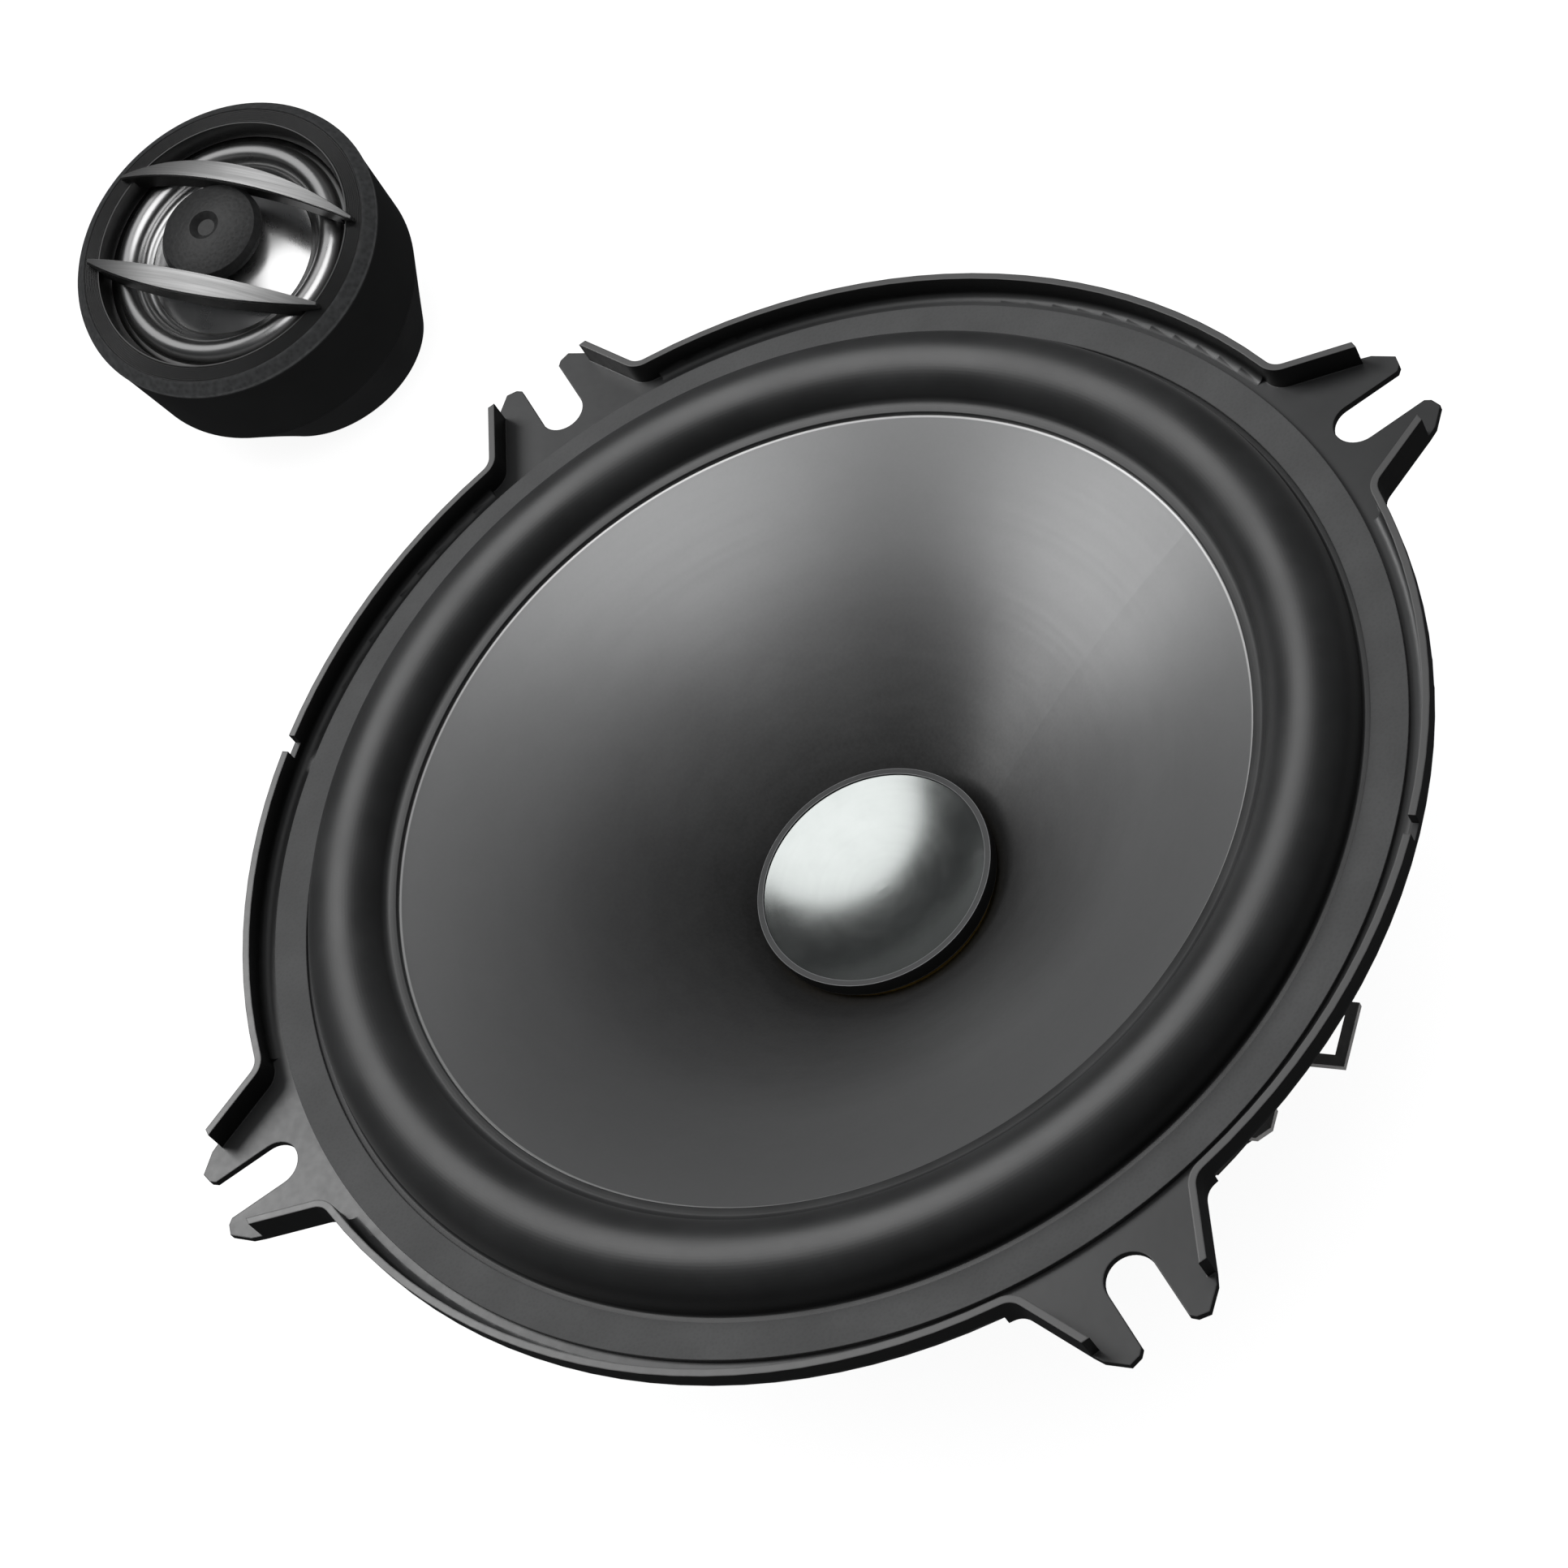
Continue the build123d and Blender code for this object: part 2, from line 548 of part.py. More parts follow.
# ---------------------------------------------------------------- magnet system
with BuildPart() as top_plate:
    revolve(washer(CENTRE, TOP_PLATE_R[0], TOP_PLATE_R[1], *TOP_PLATE_Z), axis=Axis.Z)
    chamfer(top_plate.edges().filter_by(GeomType.CIRCLE).group_by(SortBy.RADIUS)[-1], PLATE_CHAMFER)
    with BuildSketch(Plane.XY.offset(TOP_PLATE_Z[1] - RIVET_DEPTH - RIVET_GAP)):
        with PolarLocations(RIVET_CIRCLE, RIVET_COUNT, start_angle=RIVET_START):
            Circle(RIVET_R + RIVET_GAP)
    extrude(amount=RIVET_DEPTH + OVERCUT, mode=Mode.SUBTRACT)
top_plate.part.label = "top_plate"
export_step(top_plate.part, "parts/top_plate.step")

with BuildPart() as magnet_ring:
    revolve(washer(CENTRE, MAGNET_R[0], MAGNET_R[1], *MAGNET_Z), axis=Axis.Z)
    chamfer(magnet_ring.edges().filter_by(GeomType.CIRCLE).group_by(SortBy.RADIUS)[-1], PLATE_CHAMFER)
magnet_ring.part.label = "magnet_ring"
export_step(magnet_ring.part, "parts/magnet_ring.step")

with BuildPart() as back_plate:
    revolve(washer(CENTRE, SPIGOT_R + RIVET_GAP, BACK_PLATE_R, 0, MAGNET_Z[0]), axis=Axis.Z)
    chamfer(back_plate.edges().filter_by(GeomType.CIRCLE).group_by(SortBy.RADIUS)[-1], PLATE_CHAMFER)
back_plate.part.label = "back_plate"
export_step(back_plate.part, "parts/back_plate.step")

with BuildPart() as pole_piece:
    revolve(
        outline(
            CENTRE,
            [
                (0, 0), (SPIGOT_R, 0), (SPIGOT_R, MAGNET_Z[0]), (POLE_R, MAGNET_Z[0]),
                (POLE_R, POLE_TOP - PLATE_CHAMFER), (POLE_R - PLATE_CHAMFER, POLE_TOP), (0, POLE_TOP),
            ],
        ),
        axis=Axis.Z,
    )
pole_piece.part.label = "pole_piece"
export_step(pole_piece.part, "parts/pole_piece.step")

# ---------------------------------------------------------------- terminals
BOARD_TOP = BRACKET_TOP + BOARD_THICKNESS
TAB_TOP = BOARD_TOP + TAB_THICKNESS
PLUS_MIDDLE = sum(PLUS_V) / 2
MINUS_MIDDLE = sum(MINUS_V) / 2
RIVET_SPOTS = ((PLUS_RIVET_U, PLUS_MIDDLE), (MINUS_RIVET_U, MINUS_MIDDLE))

with BuildPart() as terminal_board:
    with BuildSketch(TERMINAL_FRAME):
        add(rectangle(CENTRE, (LEAD_WINDOW_U[0], BOARD_OUT), BOARD_V))
        Circle(BOARD_ROUND_R, mode=Mode.INTERSECT)
        Circle(BOARD_WALL_R, mode=Mode.SUBTRACT)
        with Locations(*RIVET_SPOTS):
            Circle(TERMINAL_RIVET_R + RIVET_GAP, mode=Mode.SUBTRACT)
    extrude(amount=BOARD_THICKNESS)
terminal_board.part.label = "terminal_board"
export_step(terminal_board.part, "parts/terminal_board.step")

with BuildPart() as terminal_plus:
    with BuildSketch(TERMINAL_FRAME.offset(BOARD_THICKNESS)):
        add(rectangle(CENTRE, PLUS_U, PLUS_V))
        add(
            rectangle(
                CENTRE,
                (PLUS_WINDOW_U, PLUS_U[1] - PLUS_FRAME),
                (PLUS_V[0] + PLUS_FRAME, PLUS_V[1] - PLUS_FRAME),
            ),
            mode=Mode.SUBTRACT,
        )
        with Locations(RIVET_SPOTS[0]):
            Circle(TERMINAL_RIVET_R + RIVET_GAP, mode=Mode.SUBTRACT)
    extrude(amount=TAB_THICKNESS)
terminal_plus.part.label = "terminal_plus"
export_step(terminal_plus.part, "parts/terminal_plus.step")

with BuildPart() as terminal_minus:
    with BuildSketch(TERMINAL_FRAME.offset(BOARD_THICKNESS)) as minus_plan:
        add(rectangle(CENTRE, MINUS_U, MINUS_V))
        chamfer(minus_plan.vertices().sort_by(Axis.X)[-2:], MINUS_CORNER)
        with Locations(RIVET_SPOTS[1]):
            Circle(TERMINAL_RIVET_R + RIVET_GAP, mode=Mode.SUBTRACT)
    extrude(amount=TAB_THICKNESS)
terminal_minus.part.label = "terminal_minus"
export_step(terminal_minus.part, "parts/terminal_minus.step")

with BuildPart() as terminal_rivets:
    shank_bottom = BRACKET_TOP - SHEET
    for height, radius, length in (
        (shank_bottom - TERMINAL_RIVET_HEAD, TERMINAL_RIVET_HEAD_R, TERMINAL_RIVET_HEAD),
        (shank_bottom, TERMINAL_RIVET_R, TAB_TOP - shank_bottom),
        (TAB_TOP, TERMINAL_RIVET_HEAD_R, TERMINAL_RIVET_HEAD),
    ):
        with BuildSketch(TERMINAL_FRAME.offset(height - BRACKET_TOP)):
            with Locations(*RIVET_SPOTS):
                Circle(radius)
        extrude(amount=length)
terminal_rivets.part.label = "terminal_rivets"
export_step(terminal_rivets.part, "parts/terminal_rivets.step")

# ---------------------------------------------------------------- leads from each tab to the cone's back
LEAD_START_Z = TAB_TOP + LEAD_R - BRACKET_TOP
LEAD_BACK_Z = CONE_MIDDLE[1] - CONE_THICKNESS - CONE_SLOPE * (CONE_MIDDLE[0] - LEAD_PLUS[-1][0])
LEAD_END_Z = LEAD_BACK_Z - LEAD_END_GAP - LEAD_R - BRACKET_TOP
LEAD_HEIGHTS = (
    LEAD_START_Z,
    LEAD_START_Z + LEAD_ARCH,
    LEAD_START_Z - LEAD_FALL,
    LEAD_END_Z - LEAD_SAG,
    LEAD_END_Z,
)
for lead_name, spots in (("tinsel_lead_plus", LEAD_PLUS), ("tinsel_lead_minus", LEAD_MINUS)):
    route = [(u, v, height) for (u, v), height in zip(spots, LEAD_HEIGHTS)]
    with BuildPart() as lead:
        with BuildLine(TERMINAL_FRAME) as path:
            Spline(*route)
        with BuildSketch(Plane(origin=path.line @ 0, z_dir=path.line % 0)):
            Circle(LEAD_R)
        sweep(path=path.line)
    lead.part.label = lead_name
    export_step(lead.part, f"parts/{lead_name}.step")

# ---------------------------------------------------------------- tweeter cup and base plate
with BuildPart() as mounting_cup:
    with BuildSketch(FOOT):
        Circle(CUP_FOOT_R)
    with BuildSketch(SEAM):
        Circle(CUP_SEAM_R)
    loft()
    with BuildSketch(FOOT.offset(CUP_BORE_HEIGHT)):
        Circle(CUP_BORE_R)
    with BuildSketch(SEAM.offset(OVERCUT)):
        Circle(CUP_SEAM_R - CUP_WALL)
    loft(mode=Mode.SUBTRACT)
    with BuildSketch(FOOT):
        Circle(CUP_BORE_R)
    extrude(amount=CUP_BORE_HEIGHT, mode=Mode.SUBTRACT)
mounting_cup.part.label = "mounting_cup"
export_step(mounting_cup.part, "parts/mounting_cup.step")

with BuildPart() as base_plate:
    with BuildSketch(FOOT):
        Circle(BASE_PLATE_R)
        Circle(GROMMET_HOLE_R, mode=Mode.SUBTRACT)
    extrude(amount=BASE_PLATE_HEIGHT)
    with Locations(FOOT.offset(BASE_PLATE_HEIGHT)):
        with GridLocations(SCREW_SPACING, 0, 2, 1):
            CounterSinkHole(SCREW_HOLE_R, SCREW_HEAD_R, depth=BASE_PLATE_HEIGHT)
base_plate.part.label = "base_plate"
export_step(base_plate.part, "parts/base_plate.step")

with BuildPart() as lead_grommet:
    revolve(
        outline(
            FOOT,
            [
                (GROMMET_BORE_R, 0),
                (GROMMET_HOLE_R - RIVET_GAP, 0),
                (GROMMET_HOLE_R - RIVET_GAP, BASE_PLATE_HEIGHT),
                (GROMMET_FLANGE_R, BASE_PLATE_HEIGHT),
                (GROMMET_FLANGE_R, BASE_PLATE_HEIGHT + GROMMET_FLANGE),
                (GROMMET_BORE_R, BASE_PLATE_HEIGHT + GROMMET_FLANGE),
            ],
        ),
        axis=Axis(FOOT.origin, FOOT.z_dir),
    )
lead_grommet.part.label = "lead_grommet"
export_step(lead_grommet.part, "parts/lead_grommet.step")

# ---------------------------------------------------------------- tweeter housing and grooved ring
with BuildPart() as tweeter_housing:
    revolve(outline(RIM, HOUSING_PROFILE), axis=TWEETER_AXIS)
tweeter_housing.part.label = "tweeter_housing"
export_step(tweeter_housing.part, "parts/tweeter_housing.step")

with BuildPart() as tweeter_front_ring:
    groove_step = (RING_R[1] - RING_R[0]) / (RING_GROOVES + 0.5)
    grooved_face = []
    for index in range(2 * RING_GROOVES + 2):
        radius = RING_R[1] - index * groove_step / 2
        share = (RING_R[1] - radius) / (RING_R[1] - RING_R[0])
        depth = RING_GROOVE_DEPTH if index % 2 else 0
        grooved_face.append((radius, RING_TOP[1] + (RING_TOP[0] - RING_TOP[1]) * share - depth))
    revolve(outline(RIM, [*grooved_face, *RING_THROAT]), axis=TWEETER_AXIS)
tweeter_front_ring.part.label = "tweeter_front_ring"
export_step(tweeter_front_ring.part, "parts/tweeter_front_ring.step")

# ---------------------------------------------------------------- guard: two bars and the disc they carry
with BuildPart() as tweeter_guard:
    for turn in (BAR_ANGLE, BAR_ANGLE + 180):
        extrude(bar_plan(turn, 0), amount=GUARD_REACH)
        extrude(bar_plan(turn, 0), amount=GUARD_LOW)
    with Locations(GUARD_SPHERE):
        Sphere(TOP_SPHERE_R - TRIM_THICKNESS, mode=Mode.INTERSECT)
        Sphere(TOP_SPHERE_R - BAR_DEPTH, mode=Mode.SUBTRACT)
    # the bars' ends stop on the grooved ring
    revolve(
        washer(RIM, BAR_FOOT_R, BAR_HALF + GUARD_REACH, GUARD_LOW - OVERCUT, BAR_FOOT_Z),
        axis=TWEETER_AXIS,
        mode=Mode.SUBTRACT,
    )
    with BuildSketch(side_of(RIM)):
        with BuildLine():
            Polyline(
                (DISC_DIMPLE_R[1], DISC_DIMPLE_Z[1]),
                (DISC_DIMPLE_R[0], DISC_DIMPLE_Z[0]),
                (0, DISC_DIMPLE_Z[0]),
                (0, DISC_UNDERSIDE),
                (DISC_R, DISC_UNDERSIDE),
                (DISC_R, DISC_EDGE[0]),
                (DISC_FLAT_R, DISC_EDGE[1]),
            )
            ThreePointArc((DISC_FLAT_R, DISC_EDGE[1]), DISC_CROWN, (DISC_DIMPLE_R[1], DISC_DIMPLE_Z[1]))
        make_face()
    revolve(axis=TWEETER_AXIS)
tweeter_guard.part.label = "tweeter_guard"
export_step(tweeter_guard.part, "parts/tweeter_guard.step")

for trim_name, turn in (("guard_trim_upper", BAR_ANGLE), ("guard_trim_lower", BAR_ANGLE + 180)):
    with BuildPart() as trim:
        extrude(bar_plan(turn, TRIM_INSET), amount=GUARD_REACH)
        with Locations(GUARD_SPHERE):
            Sphere(TOP_SPHERE_R, mode=Mode.INTERSECT)
            Sphere(TOP_SPHERE_R - TRIM_THICKNESS, mode=Mode.SUBTRACT)
    trim.part.label = trim_name
    export_step(trim.part, f"parts/{trim_name}.step")

# ---------------------------------------------------------------- tweeter dome and its edge roll
with BuildPart() as tweeter_surround:
    roll_left = EDGE_ROLL_CENTRE_R - EDGE_ROLL_R
    roll_right = EDGE_ROLL_CENTRE_R + EDGE_ROLL_R
    foil_r = EDGE_ROLL_R - FOIL
    land_low = EDGE_LAND_Z - FOIL
    with BuildSketch(side_of(RIM)):
        with BuildLine():
            Polyline(
                (EDGE_ROLL_CENTRE_R + foil_r, land_low), (EDGE_LAND_R, land_low),
                (EDGE_LAND_R, EDGE_LAND_Z), (roll_right, EDGE_LAND_Z), (roll_right, EDGE_ROLL_Z),
            )
            ThreePointArc(
                (roll_right, EDGE_ROLL_Z),
                (EDGE_ROLL_CENTRE_R, EDGE_ROLL_Z + EDGE_ROLL_R),
                (roll_left, EDGE_ROLL_Z),
            )
            Polyline(
                (roll_left, EDGE_ROLL_Z),
                *EDGE_INNER,
                *[(radius, height - FOIL) for radius, height in reversed(EDGE_INNER)],
                (roll_left + FOIL, EDGE_ROLL_Z - FOIL),
                (roll_left + FOIL, EDGE_ROLL_Z),
            )
            ThreePointArc(
                (roll_left + FOIL, EDGE_ROLL_Z),
                (EDGE_ROLL_CENTRE_R, EDGE_ROLL_Z + foil_r),
                (EDGE_ROLL_CENTRE_R + foil_r, EDGE_ROLL_Z),
            )
            Line((EDGE_ROLL_CENTRE_R + foil_r, EDGE_ROLL_Z), (EDGE_ROLL_CENTRE_R + foil_r, land_low))
        make_face()
    revolve(axis=TWEETER_AXIS)
tweeter_surround.part.label = "tweeter_surround"
export_step(tweeter_surround.part, "parts/tweeter_surround.step")

with BuildPart() as tweeter_dome:
    dome_sphere_r = (DOME_R**2 + DOME_RISE**2) / (2 * DOME_RISE)
    dome_half_r = DOME_R / 2
    dome_apex = DOME_EDGE_Z + DOME_RISE
    dome_half_z = dome_apex - dome_sphere_r + sqrt(dome_sphere_r**2 - dome_half_r**2)
    with BuildSketch(side_of(RIM)):
        with BuildLine():
            ThreePointArc((0, dome_apex), (dome_half_r, dome_half_z), (DOME_R, DOME_EDGE_Z))
            Line((DOME_R, DOME_EDGE_Z), (DOME_R, DOME_EDGE_Z - FOIL))
            ThreePointArc(
                (DOME_R, DOME_EDGE_Z - FOIL), (dome_half_r, dome_half_z - FOIL), (0, dome_apex - FOIL)
            )
            Line((0, dome_apex - FOIL), (0, dome_apex))
        make_face()
    revolve(axis=TWEETER_AXIS)
tweeter_dome.part.label = "tweeter_dome"
export_step(tweeter_dome.part, "parts/tweeter_dome.step")

# ---------------------------------------------------------------- tweeter coil, motor and chassis
TWEETER_RINGS = {
    "tweeter_coil_former": (T_FORMER_R[0], T_FORMER_R[1], *T_FORMER_Z),
    "tweeter_coil_winding": (T_FORMER_R[1], T_WINDING_R, *T_WINDING_Z),
    "tweeter_magnet": (0, T_MAGNET_R, YOKE_FLOOR, POLE_CAP_Z[0]),
    "tweeter_pole_cap": (0, POLE_CAP_R, *POLE_CAP_Z),
}
for ring_name, (inner, outer, low, high) in TWEETER_RINGS.items():
    with BuildPart() as ring:
        revolve(washer(RIM, inner, outer, low, high), axis=TWEETER_AXIS)
    ring.part.label = ring_name
    export_step(ring.part, f"parts/{ring_name}.step")

with BuildPart() as tweeter_yoke:
    revolve(
        outline(
            RIM,
            [
                (0, YOKE_Z[0]), (YOKE_R[1], YOKE_Z[0]), (YOKE_R[1], YOKE_Z[1]), (YOKE_R[0], YOKE_Z[1]),
                (YOKE_R[0], YOKE_FLOOR), (0, YOKE_FLOOR),
            ],
        ),
        axis=TWEETER_AXIS,
    )
tweeter_yoke.part.label = "tweeter_yoke"
export_step(tweeter_yoke.part, "parts/tweeter_yoke.step")

with BuildPart() as tweeter_chassis:
    revolve(outline(RIM, CHASSIS_PROFILE), axis=TWEETER_AXIS)
tweeter_chassis.part.label = "tweeter_chassis"
export_step(tweeter_chassis.part, "parts/tweeter_chassis.step")

CHASSIS_UNDERSIDE = CHASSIS_PROFILE[6][1]
with BuildPart() as tweeter_terminals:
    with BuildSketch(RIM.offset(CHASSIS_UNDERSIDE)):
        for angle in T_TAB_ANGLES:
            with Locations((T_TAB_R * cos(radians(angle)), T_TAB_R * sin(radians(angle)))):
                Rectangle(T_TAB_SIZE[0], T_TAB_SIZE[1])
    extrude(amount=-T_TAB_SIZE[2])
tweeter_terminals.part.label = "tweeter_terminals"
export_step(tweeter_terminals.part, "parts/tweeter_terminals.step")
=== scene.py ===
import math

import bpy
from mathutils import Matrix, Vector
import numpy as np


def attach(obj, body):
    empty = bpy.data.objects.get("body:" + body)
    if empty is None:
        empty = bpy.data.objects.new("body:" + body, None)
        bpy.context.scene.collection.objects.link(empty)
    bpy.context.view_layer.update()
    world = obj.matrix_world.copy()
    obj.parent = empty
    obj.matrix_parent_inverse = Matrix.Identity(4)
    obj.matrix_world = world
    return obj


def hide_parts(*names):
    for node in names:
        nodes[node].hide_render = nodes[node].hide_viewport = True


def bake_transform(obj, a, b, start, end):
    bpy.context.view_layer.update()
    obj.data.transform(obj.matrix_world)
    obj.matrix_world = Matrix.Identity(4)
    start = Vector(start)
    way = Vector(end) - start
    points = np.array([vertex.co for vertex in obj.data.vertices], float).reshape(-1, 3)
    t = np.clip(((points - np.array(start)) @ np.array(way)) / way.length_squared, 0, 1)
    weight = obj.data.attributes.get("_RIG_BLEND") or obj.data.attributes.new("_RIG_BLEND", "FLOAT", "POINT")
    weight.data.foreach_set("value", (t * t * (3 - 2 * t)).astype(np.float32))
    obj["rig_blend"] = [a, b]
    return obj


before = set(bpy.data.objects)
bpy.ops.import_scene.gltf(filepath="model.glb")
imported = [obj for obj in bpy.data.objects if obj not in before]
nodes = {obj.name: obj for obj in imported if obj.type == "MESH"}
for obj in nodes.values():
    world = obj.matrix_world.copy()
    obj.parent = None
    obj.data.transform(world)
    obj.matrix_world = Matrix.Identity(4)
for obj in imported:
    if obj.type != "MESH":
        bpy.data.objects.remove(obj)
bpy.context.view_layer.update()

# Looks of a two-way car speaker set: a mid-woofer lying on its magnet and a tweeter in an angled cup.
# Lengths are in millimetres unless a name says otherwise, and MM turns them into Blender's metres.
MM = 0.001
TURN = 2 * math.pi

# ---------------------------------------------------------------- frames
FRONT_CENTRE = Vector((-26.97, 153.82, 28.94))
LEAN = math.radians(12.3)
LEAN_HEADING = math.radians(-99.6)
BAR_ANGLE = math.radians(-41.6)
TERMINAL_ANGLE = math.radians(-45)
TERMINAL_TOP = 31.2
CUP_FOOT = Vector((-24.4, 155.4, 0))


def placed(x_axis, z_axis, origin):
    """A frame from its X and Z directions and its origin in millimetres."""
    y_axis = z_axis.cross(x_axis)
    turned = Matrix((x_axis, y_axis, z_axis)).transposed().to_4x4()
    return Matrix.Translation(origin * MM) @ turned


lean_axis = Vector((
    math.sin(LEAN) * math.cos(LEAN_HEADING),
    math.sin(LEAN) * math.sin(LEAN_HEADING),
    math.cos(LEAN),
))
rim_x = Vector((math.cos(LEAN_HEADING + math.pi / 2), math.sin(LEAN_HEADING + math.pi / 2), 0))
UP = Vector((0, 0, 1))
WOOFER = Matrix.Identity(4)
RIM = placed(rim_x, lean_axis, FRONT_CENTRE)
FOOT = placed(Vector((1, 0, 0)), UP, CUP_FOOT)
TERMINALS = placed(
    Vector((math.cos(TERMINAL_ANGLE), math.sin(TERMINAL_ANGLE), 0)), UP, Vector((0, 0, TERMINAL_TOP))
)


# ---------------------------------------------------------------- mesh helpers
def arc(centre, radius, start, end, steps):
    """Points on an arc in a profile, from one angle in degrees to another."""
    found = []
    for step in range(steps + 1):
        angle = math.radians(start + (end - start) * step / steps)
        found.append((centre[0] + radius * math.cos(angle), centre[1] + radius * math.sin(angle)))
    return found


def rounded(points, radius):
    """A closed profile with each corner turned into a small arc-like curve."""
    found = []
    count = len(points)
    steps = 4
    for index in range(count):
        before, here, after = (Vector(points[(index + shift) % count]) for shift in (-1, 0, 1))
        to_before = before - here
        to_after = after - here
        cut = min(radius, 0.45 * to_before.length, 0.45 * to_after.length)
        start = here + to_before.normalized() * cut
        end = here + to_after.normalized() * cut
        for step in range(steps + 1):
            share = step / steps
            point = start * (1 - share) ** 2 + here * 2 * share * (1 - share) + end * share**2
            found.append((point.x, point.y))
    return found


def lathe(name, place, profile, segments):
    """A mesh object turned from a (radius, height) profile about a frame's Z axis."""
    vertices = []
    for segment in range(segments):
        angle = TURN * segment / segments
        for radius, height in profile:
            vertices.append((radius * MM * math.cos(angle), radius * MM * math.sin(angle), height * MM))
    count = len(profile)
    faces = []
    for segment in range(segments):
        here = segment * count
        there = (segment + 1) % segments * count
        for index in range(count):
            following = (index + 1) % count
            faces.append((here + index, there + index, there + following, here + following))
    mesh = bpy.data.meshes.new(name)
    mesh.from_pydata(vertices, [], faces)
    mesh.shade_smooth()
    made = bpy.data.objects.new(name, mesh)
    bpy.context.scene.collection.objects.link(made)
    made.matrix_world = place
    return made


def radial_blend(piece, held, moving, place, outer, inner):
    """piece follows held outside the outer radius and moving inside the inner one, about a frame's Z axis."""
    start = place @ Vector((outer * MM, 0, 0))
    end = place @ Vector((inner * MM, 0, 0))
    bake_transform(piece, held, moving, start=start, end=end)
    into = place.inverted()
    weights = piece.data.attributes["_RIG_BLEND"].data
    for vertex, weight in zip(piece.data.vertices, weights):
        local = into @ vertex.co
        share = (outer - math.hypot(local.x, local.y) / MM) / (outer - inner)
        share = min(max(share, 0), 1)
        weight.value = share * share * (3 - 2 * share)


def twisted_lead(name, points, radius, strands, pitch):
    """A lead of twisted strands along a smooth line through the points."""
    curve = bpy.data.curves.new(name + "_line", "CURVE")
    curve.dimensions = "3D"
    curve.resolution_u = 24
    spline = curve.splines.new("BEZIER")
    spline.bezier_points.add(len(points) - 1)
    for knot, point in zip(spline.bezier_points, points):
        knot.co = point
        knot.handle_left_type = "AUTO"
        knot.handle_right_type = "AUTO"
    carrier = bpy.data.objects.new(name + "_line", curve)
    line = bpy.data.meshes.new_from_object(carrier)
    route = [vertex.co.copy() for vertex in line.vertices]
    bpy.data.objects.remove(carrier)
    around = 8 * strands
    vertices = []
    travelled = 0
    for index, point in enumerate(route):
        ahead = route[min(index + 1, len(route) - 1)] - route[max(index - 1, 0)]
        ahead.normalize()
        side = ahead.cross(UP).normalized()
        over = side.cross(ahead)
        if index:
            travelled += (point - route[index - 1]).length
        turn = TURN * travelled / (pitch * MM)
        for step in range(around):
            angle = TURN * step / around
            reach = radius * MM * (0.86 + 0.14 * abs(math.cos(strands * (angle - turn) / 2)))
            vertices.append(point + (side * math.cos(angle) + over * math.sin(angle)) * reach)
    faces = []
    for index in range(len(route) - 1):
        for step in range(around):
            here = index * around
            following = (step + 1) % around
            faces.append((here + step, here + following, here + around + following, here + around + step))
    faces.append(tuple(reversed(range(around))))
    faces.append(tuple(range((len(route) - 1) * around, len(route) * around)))
    mesh = bpy.data.meshes.new(name)
    mesh.from_pydata(vertices, [], faces)
    mesh.shade_smooth()
    made = bpy.data.objects.new(name, mesh)
    bpy.context.scene.collection.objects.link(made)
    return made


